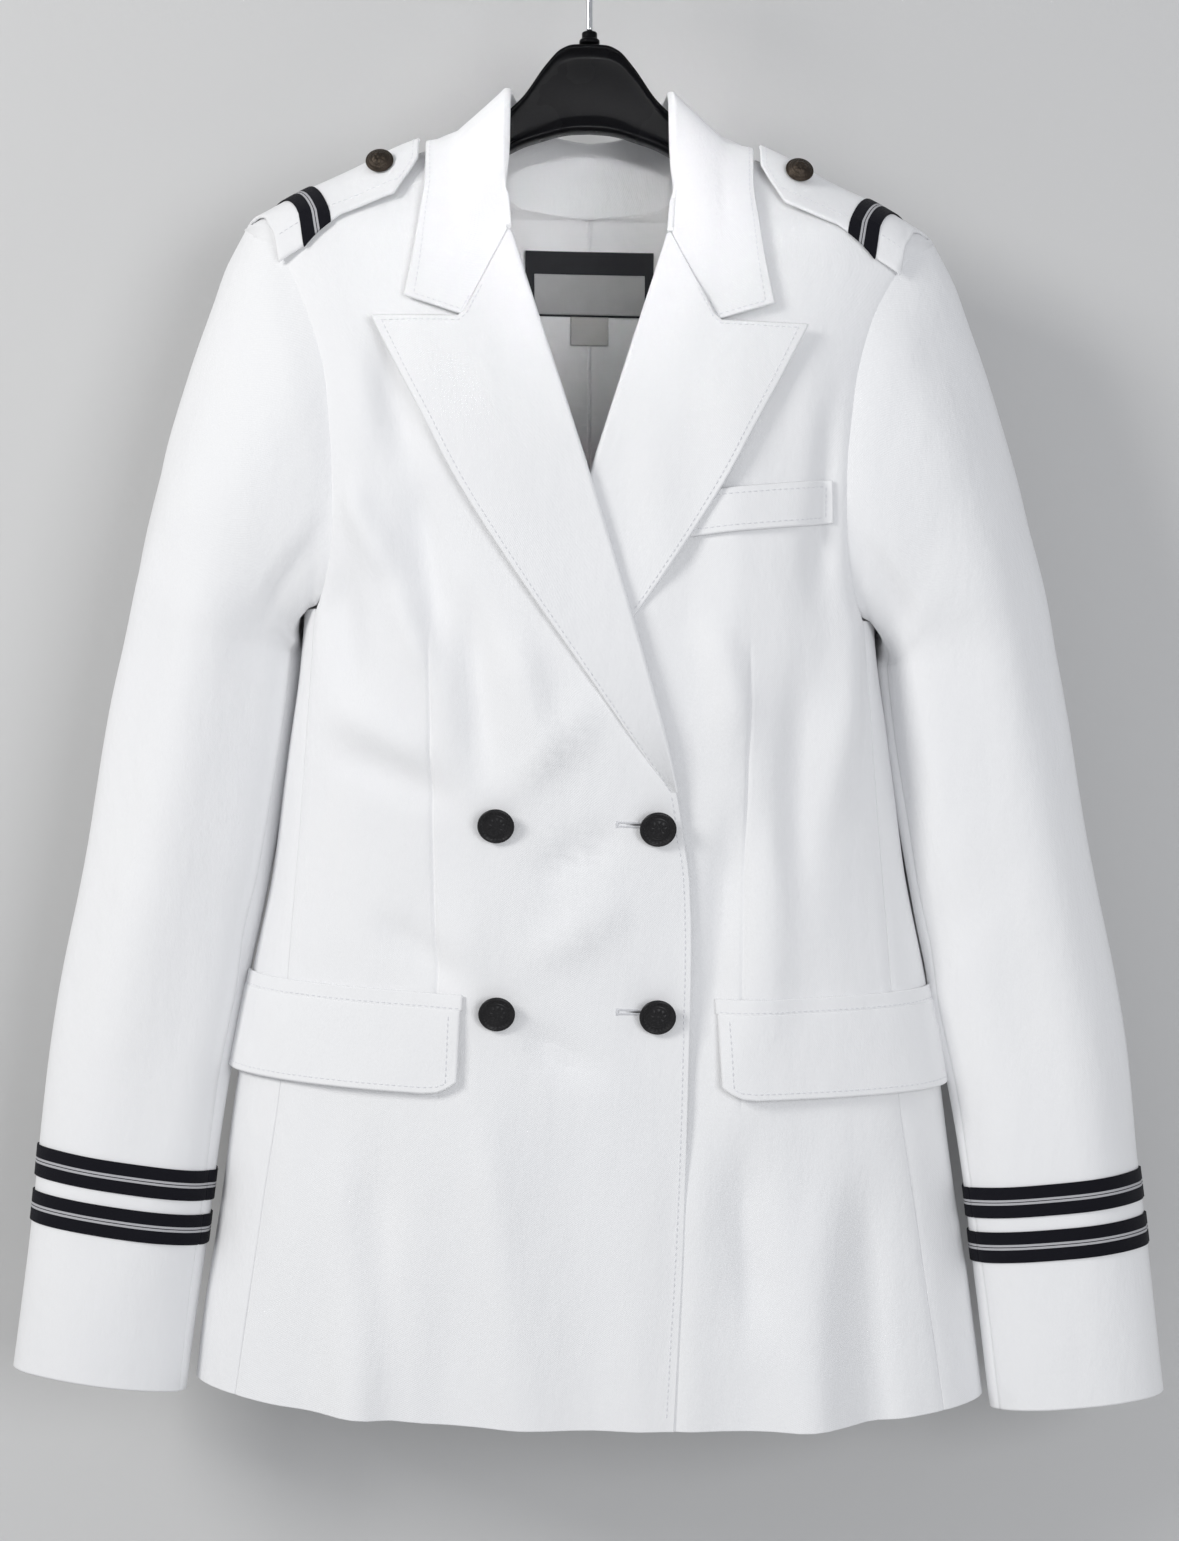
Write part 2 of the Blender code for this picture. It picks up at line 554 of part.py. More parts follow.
def on_shoulder(x, y, lift=0.0):
    """The shoulder's surface over a point in plan, found by halving the height it must lie in."""
    low, high = np.full(x.shape, -240.0), np.full(x.shape, -128.2)
    for _ in range(30):
        middle = (low + high) / 2
        reach = (np.abs(x) / half_width(middle)) ** ROUNDNESS
        side_depth = np.where(y < 0, read(BODY, "front", middle), read(BODY, "back", middle))
        outside = reach + (np.abs(y) / side_depth) ** ROUNDNESS > 1
        high, low = np.where(outside, middle, high), np.where(outside, low, middle)
    angle = np.where(y < 0, front_angle(x, low), back_angle(x, low))
    return on_body(angle, low, lift)


def strap_end(y):
    return STRAP_END_X + 0.75 * np.minimum(y, 0)


def strap_lift(x):
    """The strap's top: flat on the shoulder at the sleeve, rising to its free end at the neck."""
    return 4.7 + STRAP_RISE * ease((150 - x) / 50) ** 2


def strap_points(side, near, far, lift, columns=5):
    """A patch of the strap between two lines across it, near being towards the neck."""
    v = np.linspace(0, 1, columns)
    y = STRAP_LOW_Y + (STRAP_HIGH_Y - STRAP_LOW_Y) * v
    s = np.linspace(0, 1, 10 if near is None else 3)[:, None]
    blunt = STRAP_NECK_X + 12 * np.clip((np.abs(v - 0.5) - 0.28) / 0.22, 0, 1)
    start = blunt if near is None else strap_end(y) - near
    x = start + (strap_end(y) - far - start) * s
    y = y + 0 * x
    return on_shoulder(x, y, strap_lift(x) + lift) * (side, 1, 1)


def shoulder_strap(side, word, cloth, braid, brass):
    add_sheet(f"shoulder_strap_{word}", strap_points(side, None, 0.6, 0), cloth, outward=(side, -1, 1))
    ribbon = strap_points(side, 14.0 + 14.5, 14.0, 1.2)
    add_sheet(f"shoulder_strap_braid_{word}", ribbon, braid, 0.9, outward=(side, -1, 1))
    x, y = np.array([STRAP_BUTTON[0]]), np.array([STRAP_BUTTON[1]])
    seat = on_shoulder(x, y, strap_lift(x) + SEAM + 0.1)[0] * (side, 1, 1)
    above = on_shoulder(x, y, strap_lift(x) + 5)[0] * (side, 1, 1)
    add_button(f"shoulder_strap_button_{word}", DOME_PROFILE, seat, above - seat, brass)


FRONT_BUTTON_PROFILE = (
    (0, 5.0), (3.0, 4.9), (6.4, 4.3), (7.2, 4.3), (8.2, 5.1), (9.2, 4.6), (9.4, 3.8), (8.2, 2.4), (3.0, 1.9), (2.6, 0), (0, 0),
)
DOME_PROFILE = ((0, 6.0), (3.0, 5.6), (5.6, 4.3), (7.0, 2.9), (7.4, 2.0), (6.6, 1.4), (2.4, 1.2), (2.2, 0), (0, 0))


def add_button(name, profile, seat, direction, finish):
    """A turned button with its shank on the cloth, facing along direction."""
    mesh = bpy.data.meshes.new(name)
    points = [(radius * MM, 0, height * MM) for radius, height in profile]
    mesh.from_pydata(points, [(k, k + 1) for k in range(len(points) - 1)], [])
    made = add(name, mesh, finish)
    screw = made.modifiers.new("turn", "SCREW")
    screw.steps = screw.render_steps = 16
    screw.use_merge_vertices = True
    screw.merge_threshold = 0.00001
    screw.use_smooth_shade = True
    made.location = to_metres(np.asarray(seat, float))
    made.rotation_euler = Vector(direction).to_track_quat("Z", "Y").to_euler()
    return made


def front_buttons(finish):
    for row, z in enumerate(BUTTON_ROWS):
        for x, word in zip(BUTTON_COLUMNS, ("right", "left")):
            u, height = np.array([-x]), np.array([z])
            seat, above = (on_front(-1, u, height, lift + 0 * u)[0] for lift in (0.73, 5.0))
            add_button(f"front_button_{word}_{row + 1}", FRONT_BUTTON_PROFILE, seat, above - seat, finish)


CUFF_BUTTON_COLUMN = 19.6


def sleeve_trim(side, word, braid, brass):
    for number, start in enumerate(CUFF_BRAIDS):
        column, t = np.meshgrid(np.arange(22.0), (start, start + BRAID_WIDTH / SLEEVE_AXIS))
        walls = [on_sleeve(column, t, lift + 0 * t) * (side, 1, 1) for lift in (1.3, 0.4)]
        add_wall(f"cuff_braid_{word}_{number + 1}", *walls, braid, round_=True)
    for number, t in enumerate(CUFF_BUTTONS):
        spot = np.array([CUFF_BUTTON_COLUMN]), np.array([t])
        seat, above = (on_sleeve(*spot, np.array([lift]))[0] * (side, 1, 1) for lift in (SEAM, 5.0))
        add_button(f"cuff_button_{word}_{number + 1}", DOME_PROFILE, seat, above - seat, brass)


LABELS = table("order x_low x_high z_low z_high depth", (0, -36, 36, -219, -183, 2.4), (1, -31, 31, -218, -196, 3.8),
               (2, -10.5, 10.5, -235, -219.4, 2.4))
LABEL_THICKNESS = 1.0


def labels(finishes):
    for name, label in zip(("label_black", "label_satin", "label_size"), LABELS):
        x, z = np.meshgrid(np.linspace(label["x_low"], label["x_high"], 7), (label["z_low"], label["z_high"]))
        points = on_body(np.pi - front_angle(x, z), z, -label["depth"] - LABEL_THICKNESS + 0 * x)
        add_sheet(name, points, finishes[name], LABEL_THICKNESS)


def hanger_body(finish):
    """One moulding: a hump that carries the hook, and two arms that follow the shoulders just inside the cloth."""
    around = np.linspace(0, 2 * np.pi, 13)[:-1]
    half = HANGER["x"]
    x = np.concatenate([-half[:0:-1], half])
    a = np.abs(x)
    top, bottom = read(HANGER, "top", a), read(HANGER, "bottom", a)
    depth = read(HANGER, "half_depth", a)[:, None]
    middle, tall = ((top + bottom) / 2)[:, None], ((top - bottom) / 2)[:, None]
    across, upright = (np.sign(wave) * np.abs(wave) ** (2 / 2.6) for wave in (np.cos(around), np.sin(around)))
    points = np.stack([x[:, None] + 0 * around, depth * across, middle + tall * upright], axis=-1)
    rows, columns = points.shape[:2]
    faces = grid_faces(rows, columns, round_=True).tolist()
    faces += [list(range(columns - 1, -1, -1)), list(range((rows - 1) * columns, rows * columns))]
    mesh = bpy.data.meshes.new("hanger_body")
    mesh.from_pydata(to_metres(points).reshape(-1, 3).tolist(), [], faces)
    mesh.shade_smooth()
    return add("hanger_body", mesh, finish)


HOOK_WIRE, HOOK_INSIDE = 3.6, 17.0
FERRULE_LOW_Z, FERRULE_TOP_Z, SHANK_BEND_Z = -76.4, -69.5, -50.0


def hook(finish):
    """A wire up from the ferrule, out to one side and round over the bearing point at the origin."""
    radius = HOOK_INSIDE + HOOK_WIRE / 2
    middle = -HOOK_INSIDE
    turn = np.radians(np.linspace(-52, 205, 17))
    loop = np.stack([radius * np.cos(turn), 0 * turn, middle + radius * np.sin(turn)], axis=-1)
    shank = [(0, 0, FERRULE_TOP_Z + SEAM), (0, 0, -60), (0, 0, SHANK_BEND_Z), (1.6, 0, -43), (5.6, 0, -36.5)]
    points = np.concatenate([shank, loop]) * MM
    wire = bpy.data.curves.new("hanger_hook", "CURVE")
    wire.dimensions = "3D"
    wire.bevel_depth = HOOK_WIRE / 2 * MM
    wire.bevel_resolution = 2
    wire.use_fill_caps = True
    spline = wire.splines.new("POLY")
    spline.points.add(len(points) - 1)
    spline.points.foreach_set("co", np.column_stack([points, np.ones(len(points))]).ravel())
    return add("hanger_hook", wire, finish)


def ferrule(finish):
    profile = ((0, 0), (4.0, 0), (4.2, -1.0), (4.2, -3.4), (5.6, -4.8), (5.6, -6.9), (0, -6.9))
    mesh = bpy.data.meshes.new("hanger_ferrule")
    points = [(radius * MM, 0, height * MM) for radius, height in profile]
    mesh.from_pydata(points, [(k, k + 1) for k in range(len(points) - 1)], [])
    made = add("hanger_ferrule", mesh, finish)
    screw = made.modifiers.new("turn", "SCREW")
    screw.steps = screw.render_steps = 16
    screw.use_merge_vertices = True
    screw.merge_threshold = 0.00001
    made.location = (0, 0, FERRULE_TOP_Z * MM)
    return made


for leftover in list(bpy.data.objects):
    bpy.data.objects.remove(leftover, do_unlink=True)
bpy.context.scene.collection.children.link(parts)

white = material("white_twill", (0.86, 0.87, 0.88), 0.62)
black_braid = material("black_braid", (0.01, 0.011, 0.016), 0.6)
black_button = material("black_button", (0.012, 0.012, 0.014), 0.28)
dark_brass = material("dark_brass", (0.12, 0.085, 0.055), 0.4, 0.9)
black_plastic = material("black_plastic", (0.006, 0.006, 0.007), 0.3)
chrome = material("chrome", (0.75, 0.76, 0.78), 0.12, 1.0)
label_finish = {
    "label_black": material("black_label_weave", (0.012, 0.012, 0.013), 0.7),
    "label_satin": material("grey_satin", (0.55, 0.55, 0.55), 0.4),
    "label_size": material("pale_label", (0.66, 0.65, 0.64), 0.6),
}

for side, word in ((-1, "right"), (1, "left")):
    front(side, f"front_{word}", white)
    side_panel(side, f"side_panel_{word}", white)
    back(side, f"back_{word}", white)
    sleeve_part(side, np.append(np.arange(BACK_SEAM, 22), np.arange(FRONT_SEAM + 1) + 22), f"top_sleeve_{word}", white)
    sleeve_part(side, range(FRONT_SEAM, BACK_SEAM + 1), f"under_sleeve_{word}", white)
    lapel(side, f"lapel_{word}", white)
    pocket(side, word, white)
    shoulder_strap(side, word, white, black_braid, dark_brass)
    sleeve_trim(side, word, black_braid, dark_brass)
collar_fall(white)
collar_stand(white)
breast_welt(white)
front_buttons(black_button)
labels(label_finish)
hanger_body(black_plastic)
hook(chrome)
ferrule(black_plastic)
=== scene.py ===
"""A white double-breasted uniform blazer on its black hanger, in the finish it has in the photograph.

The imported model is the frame: +Z up, the fronts face -Y, +X is the wearer's left, and the origin is the underside
of the hook's top bend. Lengths here are in millimetres until a mesh is made. On a front, u is the distance out from
the centre line on its own side; side -1 is the wearer's right, which closes on top.
"""

import bpy
import numpy as np
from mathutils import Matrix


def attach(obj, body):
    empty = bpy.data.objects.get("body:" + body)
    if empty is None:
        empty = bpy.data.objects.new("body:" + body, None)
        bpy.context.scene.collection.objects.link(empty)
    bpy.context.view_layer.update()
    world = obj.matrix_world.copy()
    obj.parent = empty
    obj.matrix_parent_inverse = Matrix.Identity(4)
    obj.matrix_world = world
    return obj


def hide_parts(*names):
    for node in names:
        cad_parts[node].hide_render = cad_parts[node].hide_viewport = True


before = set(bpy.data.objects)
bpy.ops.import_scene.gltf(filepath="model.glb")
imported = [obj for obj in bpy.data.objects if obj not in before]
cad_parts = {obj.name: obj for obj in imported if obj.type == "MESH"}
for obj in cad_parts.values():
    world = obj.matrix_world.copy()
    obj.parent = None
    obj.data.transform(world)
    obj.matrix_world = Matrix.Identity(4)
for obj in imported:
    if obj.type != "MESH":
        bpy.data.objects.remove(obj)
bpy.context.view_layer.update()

# ---------------------------------------------------------------------------------------------------------------
# Camera. It stands level and square to the wall, a metre and a half in front of the hook, at the height of the
# jacket's waist.
camera = bpy.data.objects.new("camera", bpy.data.cameras.new("camera"))
camera.location = (0, -1.5, -0.4756)
camera.rotation_euler = (np.pi / 2, 0, 0)
camera.data.sensor_width = 36
camera.data.lens = 63.71
bpy.context.scene.collection.objects.link(camera)
bpy.context.scene.camera = camera

# ---------------------------------------------------------------------------------------------------------------
# Hook. A chromed steel wire 3.6 mm thick, screwed into the hanger's neck and bent round over the rail. It swivels in
# the hanger, and its end is rounded off.
MM = 0.001


def unit(vectors):
    """Each vector divided by its own length."""
    return vectors / np.maximum(np.linalg.norm(vectors, axis=-1, keepdims=True), 1e-9)


def curve(at, places, values):
    """A smooth curve through the values that never overshoots them (a monotone cubic)."""
    at, places, values = (np.asarray(given, float) for given in (at, places, values))
    run = np.diff(places)
    slope = np.diff(values) / run
    tangent = np.zeros_like(values)
    tangent[0], tangent[-1] = slope[0], slope[-1]
    product = slope[:-1] * slope[1:]
    same = product > 0
    tangent[1:-1][same] = 2 * product[same] / (slope[:-1] + slope[1:])[same]
    k = np.clip(np.searchsorted(places, at, side="right") - 1, 0, len(run) - 1)
    t = np.clip((at - places[k]) / run[k], 0, 1)
    start = (2 * t**3 - 3 * t**2 + 1) * values[k] + (t**3 - 2 * t**2 + t) * run[k] * tangent[k]
    return start + (3 * t**2 - 2 * t**3) * values[k + 1] + (t**3 - t**2) * run[k] * tangent[k + 1]


def smooth_path(points, t):
    """A smooth curve through points, with t from 0 to 1 by length."""
    points = np.asarray(points, float)
    length = np.append(0, np.cumsum(np.linalg.norm(np.diff(points, axis=0), axis=1)))
    return np.stack([curve(t * length[-1], length, points[:, k]) for k in range(3)], axis=-1)


def grid_faces(rows, columns, closed=False):
    """The four corners of each cell of a grid of points, with the last column joined to the first where closed."""
    i, j = np.meshgrid(np.arange(rows - 1), np.arange(columns if closed else columns - 1), indexing="ij")
    k = (j + 1) % columns
    corners = (i * columns + j, i * columns + k, (i + 1) * columns + k, (i + 1) * columns + j)
    return np.stack(corners, axis=-1).reshape(-1, 4)


def put_together(name, points, faces, finishes, caps=(), places=None, second=None):
    """Makes an object of a closed shape. Its faces are turned to point outwards: each face's area times its distance
    out adds up to three times the volume, which is positive when they do. places are the points' UVs in metres, and
    second marks the faces that take the second finish."""
    corners = points[faces]
    area = np.cross(corners[:, 2] - corners[:, 0], corners[:, 3] - corners[:, 1])
    order = [0, 1, 2, 3] if ((corners.mean(axis=1) - points.mean(axis=0)) * area).sum() > 0 else [0, 3, 2, 1]
    caps = [list(cap) if order[1] == 1 else list(cap)[::-1] for cap in caps]
    mesh = bpy.data.meshes.new(name)
    mesh.from_pydata((points * MM).tolist(), [], faces[:, order].tolist() + caps)
    if places is not None:
        corner = np.empty(len(mesh.loops), np.int32)
        mesh.loops.foreach_get("vertex_index", corner)
        mesh.uv_layers.new(name="weave").data.foreach_set("uv", places[corner].ravel() * MM)
    mesh.shade_smooth()
    for finish in finishes:
        mesh.materials.append(finish)
    if second is not None:
        mesh.polygons.foreach_set("material_index", np.append(second, np.zeros(len(caps))).astype(np.int32))
    made = bpy.data.objects.new(name, mesh)
    bpy.context.scene.collection.objects.link(made)
    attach(made, "root")
    return made


def tube(name, path, radius, finish, around=16):
    """A round wire: a circle square to the path at each of its points, with both ends closed by a flat face."""
    along = unit(np.gradient(path, axis=0))
    side = unit(np.cross(along, (0, 1.0, 0)))
    turn = np.linspace(0, 2 * np.pi, around, endpoint=False)[:, None]
    ring = np.cos(turn) * side[:, None] + np.sin(turn) * np.cross(side, along)[:, None]
    points = path[:, None] + ring * np.broadcast_to(radius, len(path))[:, None, None]
    ends = list(range(around - 1, -1, -1)), list(range((len(path) - 1) * around, len(path) * around))
    return put_together(name, points.reshape(-1, 3), grid_faces(len(path), around, True), [finish], ends)


class Value:
    """One output of a shader node, so that shader maths reads as plain expressions."""

    def __init__(self, finish, socket):
        self.finish, self.socket = finish, socket

    def maths(self, operation, *numbers):
        """A Math node that works on these values."""
        sockets = dict(enumerate(numbers))
        return self.finish.node("ShaderNodeMath", {"operation": operation}, sockets)

    def __add__(self, other):
        return self.maths("ADD", self, other)

    def __sub__(self, other):
        return self.maths("SUBTRACT", self, other)

    def __rsub__(self, other):
        return self.maths("SUBTRACT", other, self)

    def __mul__(self, other):
        return self.maths("MULTIPLY", self, other)

    def __gt__(self, other):
        return self.maths("GREATER_THAN", self, other)

    def __lt__(self, other):
        return self.maths("LESS_THAN", self, other)

    __radd__, __rmul__ = __add__, __mul__


class Finish:
    """A material, made one node at a time. What is the same all over is set on the shader's own sockets."""

    def __init__(self, name, **same_all_over):
        self.material = bpy.data.materials.new(name)
        self.material.use_nodes = True
        self.tree = self.material.node_tree
        self.shader = self.tree.nodes["Principled BSDF"]
        for socket, value in same_all_over.items():
            self.shader.inputs[socket.replace("_", " ")].default_value = value

    def node(self, kind, settings=None, sockets=None, output=0):
        """Any node: its settings, then the values or links of its sockets; gives back one of its outputs."""
        made = self.tree.nodes.new(kind)
        for setting, value in (settings or {}).items():
            setattr(made, setting, value)
        for socket, value in (sockets or {}).items():
            self.give(made.inputs[socket], value)
        return Value(self, made.outputs[output])

    def give(self, socket, value):
        """Links a value to the socket, or sets a plain number or colour on it."""
        if isinstance(value, Value):
            self.tree.links.new(value.socket, socket)
        else:
            socket.default_value = value

    def paint(self, name, value):
        """Gives a value to the shader's socket of this name."""
        self.give(self.shader.inputs[name], value)

    def noise(self, vector, scale, detail=2.0, roughness=0.5):
        """Cloudy noise over vector, finer with scale."""
        sockets = {"Vector": vector, "Scale": scale, "Detail": detail, "Roughness": roughness}
        return self.node("ShaderNodeTexNoise", {}, sockets)

    def mix(self, factor, first, second):
        """A blend of two colours; 0, 6 and 7 are the node's factor and its two colour sockets."""
        return self.node("ShaderNodeMix", {"data_type": "RGBA"}, {0: factor, 6: first, 7: second}, 2)

    def bump(self, height, distance, strength=1.0):
        """Feeds the Normal with a relief of this height, as deep as distance in metres."""
        sockets = {"Strength": strength, "Distance": distance, "Height": height}
        self.paint("Normal", self.node("ShaderNodeBump", {}, sockets))


chrome = Finish("chrome_wire", Metallic=1.0, Roughness=0.12)
spot = chrome.node("ShaderNodeTexCoord", output="Object")
haze = chrome.noise(spot, 260, 4)
chrome.paint("Base Color", chrome.mix(haze, (0.66, 0.67, 0.69, 1), (0.82, 0.83, 0.85, 1)))
chrome.paint("Roughness", 0.08 + 0.14 * haze)
chrome.bump(chrome.noise(spot, 900), 0.00003)

HOOK_RADIUS, HOOK_MIDDLE = 18.8, -17.0
turn = np.radians(np.linspace(-52, 205, 60))
bend = np.stack([HOOK_RADIUS * np.cos(turn), 0 * turn, HOOK_MIDDLE + HOOK_RADIUS * np.sin(turn)], axis=-1)
stem = [(0, 0, -69.2), (0, 0, -58), (0.1, 0, -50), (1.8, 0, -43), (5.8, 0, -36.6), bend[0]]
shank = smooth_path(stem, np.linspace(0, 0.97, 24))
tip = bend[-1] + unit(bend[-1] - bend[-2]) * np.array([[0.5], [0.9], [1.15]])
wire = np.concatenate([shank, bend, tip])
thickness = np.append(np.full(len(wire) - 3, 1.8), (1.72, 1.3, 0.6))
hook = tube("hanger_hook_wire", wire, thickness, chrome.material)
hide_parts("hanger_hook")

# ---------------------------------------------------------------------------------------------------------------
# Ferrule. A small turned collar of black plastic at the hanger's crown, with a flange that sits on the hump and a
# dimpled top where the wire goes in.


def lathe(name, profile, finish, around=48):
    """A turned shape: the profile's (radius, height) pairs carried round the upright axis."""
    radius, height = np.transpose(profile)
    turn = np.linspace(0, 2 * np.pi, around, endpoint=False)
    x, y = radius[:, None] * np.cos(turn), radius[:, None] * np.sin(turn)
    points = np.stack([x, y, height[:, None] + 0 * turn], axis=-1).reshape(-1, 3)
    last = (len(profile) - 1) * around
    ends = range(around - 1, -1, -1), range(last, last + around)
    return put_together(name, points, grid_faces(len(profile), around, True), [finish], ends)


gloss_black = Finish("gloss_black_plastic", Specular_IOR_Level=0.06)
spot = gloss_black.node("ShaderNodeTexCoord", output="Object")
swirl, dust = gloss_black.noise(spot, 22, 3), gloss_black.noise(spot, 700, 2)
gloss_black.paint("Base Color", gloss_black.mix(dust, (0.002, 0.002, 0.0025, 1), (0.006, 0.006, 0.007, 1)))
gloss_black.paint("Roughness", 0.2 + 0.16 * swirl)
gloss_black.bump(swirl + 0.06 * dust, 0.0003, 0.5)

collar_ring = (
    (0.4, -69.5), (2.3, -69.5), (3.6, -69.6), (4.1, -70.0), (4.25, -70.6), (4.2, -72.6), (4.4, -73.3), (5.2, -73.8),
    (5.6, -74.3), (5.65, -75.6), (5.3, -76.3), (0.4, -76.4),
)
ferrule = lathe("hanger_ferrule_ring", collar_ring[::-1], gloss_black.material)
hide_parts("hanger_ferrule")

# ---------------------------------------------------------------------------------------------------------------
# Hanger. One glossy black moulding: a hump that carries the hook and two arms that fill the shoulders. Its faces are
# sunk a little inside a raised rim, which catches a thin line of light.
SKEW = 0.022


def hung(points):
    """The jacket and the hanger hang a little askew, lower on the wearer's left."""
    points = np.array(points, float)
    points[..., 2] -= SKEW * points[..., 0]
    return points


HANGER_X = (0, 9, 15.5, 24, 36, 47.3, 55, 62, 90, 130, 165, 174)
HANGER_TOP = (-77, -77.5, -80, -89, -106, -117.5, -127.5, -133, -141.1, -157.9, -173.6, -182)
HANGER_BOTTOM = (-125, -125.5, -126.5, -129, -133, -139, -144, -151, -168, -188, -202, -200)
HANGER_DEPTH = (7, 7, 7, 7, 7, 7.5, 8, 8, 9, 10, 10, 8)
RIM = 3.4
half = np.concatenate([np.arange(0, 60, 1.5), np.arange(60, 172, 3.0), (172, 173.4, 174)])
x = np.concatenate([-half[:0:-1], half])
top, bottom = curve(abs(x), HANGER_X, HANGER_TOP), curve(abs(x), HANGER_X, HANGER_BOTTOM)
depth = curve(abs(x), HANGER_X, HANGER_DEPTH)[:, None]
# Round the section: down the front from the top edge, and up the back. The share 0 is the top edge and 1 the lower.
share = np.array([0, 0.5, 1.4, RIM - 0.9, RIM, RIM + 0.9])
tall = (top - bottom)[:, None]
down = np.concatenate([share / tall, np.linspace(0.18, 0.82, 7) + 0 * tall, 1 - share[::-1] / tall], axis=1)
inset = np.concatenate([(0.55, 0.86, 1, 1, 0.97, 0.8), np.full(7, 0.78), (0.8, 0.97, 1, 1, 0.86, 0.55)])
front_half = np.stack([x[:, None] + 0 * down, -depth * inset, top[:, None] - tall * down], axis=-1)
section = np.concatenate([front_half, front_half[:, ::-1] * (1, -1, 1)], axis=1)
columns = section.shape[1]
ends = range(columns - 1, -1, -1), range((len(x) - 1) * columns, len(x) * columns)
faces = grid_faces(len(x), columns, True)
hanger = put_together("hanger_moulding", hung(section).reshape(-1, 3), faces, [gloss_black.material], ends)
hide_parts("hanger_body")

# ---------------------------------------------------------------------------------------------------------------
# Body. Six panels of white cotton twill with a lining: two fronts with a long dart each, two sides and two backs.
# They are sewn edge to edge and pressed, so each seam is a fine hollow line, and the hem is turned up inside.
WALL = 2.0
ROUNDNESS = 2.5
NECK_X, NECK_Z, TIP_X, TIP_Z = 62.0, -128.0, 190.0, -182.0
UNDERARM_Z, BACK_NECK_Z, HEM_Z = -391.0, -163.0, -810.0
SHOULDER_CURVE = 1.1
BODY = np.array([  # z, half width, depth in front, depth behind
    (-830, 218, 62, 55), (-760, 209, 63, 53), (-700, 200, 64, 50), (-646, 193, 65, 48), (-600, 187, 66, 46),
    (-530, 173, 70, 45), (-486, 167, 74, 46), (-450, 162, 78, 48), (-420, 158, 79, 49), (-391, 156, 78, 50),
    (-350, 161, 74, 51), (-300, 172, 70, 50), (-240, 183, 60, 46), (-182, 190, 41, 42), (-163, 190, 34, 40),
    (-128, 190, 22, 34),
])
FRONT_EDGE = np.array([  # z, u
    (-830, -43), (-795, -45), (-701, -50), (-622, -52.5), (-565, -53.5), (-533, -52.5), (-507, -48.8), (-494, -47),
    (-433, -31.4), (-326, 0), (-188, 43.5), (-165, 50), (-146, 56), (-128, 62),
])
SIDE_SEAMS = np.array([  # z, u of the front seam, u of the back seam
    (-830, 193, 150), (-709, 175, 140), (-640, 165, 136), (-585, 161.6, 132), (-486, 154, 126), (-391, 148, 134),
])
ARMHOLE = np.array([  # z, u in front, u behind
    (-391, 148, 134), (-366, 139.5, 141), (-333, 137.5, 147), (-300, 138.5, 149), (-270, 142, 151),
    (-240, 150, 155.5), (-216, 160, 164), (-198, 172, 176), (-182, 190, 190),
])
UNDER_DEPTH = np.array([(-830, 3.5), (-540, 3.5), (-470, 5.6), (-310, 5.6), (-230, 0), (-128, 0)])
DART = np.array([(-830, 79), (-595, 80.8), (-543, 82), (-409, 84.5), (-360, 85), (-182, 118), (-128, 62)])
FOLDS = (  # z low, z high, face, u low, u high, width, height, whether it grows to the hem
    (-830, -640, 1, 119, 96, 17, 6.5, 1), (-830, -680, 1, 152, 140, 12, -3.5, 1), (-830, -700, 1, 78, 74, 16, -3, 1),
    (-420, -215, 1, 139, 112, 13, 3.5, 0), (-640, -520, 1, 72, 64, 13, 2.5, 0),
    (-830, -620, -1, 96, 80, 20, 7, 1), (-830, -660, -1, 136, 128, 14, -4, 1), (-420, -230, -1, 118, 100, 14, 3, 0),
)


def read(rows, at, column=1):
    """A table's column as a smooth curve over its first column."""
    return curve(at, rows[:, 0], rows[:, column])


def ease(t):
    """From 0 to 1, level at both ends: three t squared less two t cubed."""
    t = np.clip(t, 0, 1)
    return t * t * (3 - 2 * t)


def half_width(z):
    """Half the body's width at a height: by the table up to the shoulder tip, and above it out to the shoulder line,
    which falls from the neck as a power of the way out."""
    fall = np.clip((z - NECK_Z) / (TIP_Z - NECK_Z), 0, 1)
    return np.where(z > TIP_Z, NECK_X + (TIP_X - NECK_X) * fall ** (1 / SHOULDER_CURVE), read(BODY, z))


def fold_height(x, z, face):
    """Soft ridges and troughs: a bell across, growing to the hem or dying out at both ends."""
    total = np.zeros(np.broadcast(x, z).shape)
    for z_low, z_high, of_face, u_low, u_high, width, height, off_hem in FOLDS:
        if face != of_face:
            continue
        t = (z - z_high) / (z_low - z_high)
        along = ease(t) if off_hem else np.sin(np.pi * np.clip(t, 0, 1)) ** 2
        total = total + height * along * np.exp(-(((np.abs(x) - u_high - (u_low - u_high) * t) / width) ** 2))
    return total


def body_point(angle, z):
    """The body's outer surface: at each height a rounded oblong, wider than deep, deeper in front."""
    sine, cosine = np.sin(angle), np.cos(angle)
    x = half_width(z) * np.sign(sine) * np.abs(sine) ** (2 / ROUNDNESS)
    front = read(BODY, z, 2) + fold_height(x, z, 1)
    back = read(BODY, z, 3) + fold_height(x, z, -1)
    return np.stack([x, np.where(cosine > 0, -front, back) * np.abs(cosine) ** (2 / ROUNDNESS), z + 0 * x], axis=-1)


def on_body(angle, z, lift=0.0):
    """A point of the body, moved out along its normal by lift."""
    across = body_point(angle + 0.004, z) - body_point(angle - 0.004, z)
    up = body_point(angle, z + 0.4) - body_point(angle, z - 0.4)
    return body_point(angle, z) + unit(np.cross(across, up)) * np.asarray(lift)[..., None]


def front_angle(u, z):
    """The angle round the body, from the centre front, at which it is u out: body_point's x solved for the angle."""
    return np.sign(u) * np.arcsin(np.clip(np.abs(u) / half_width(z), 0, 1) ** (ROUNDNESS / 2))


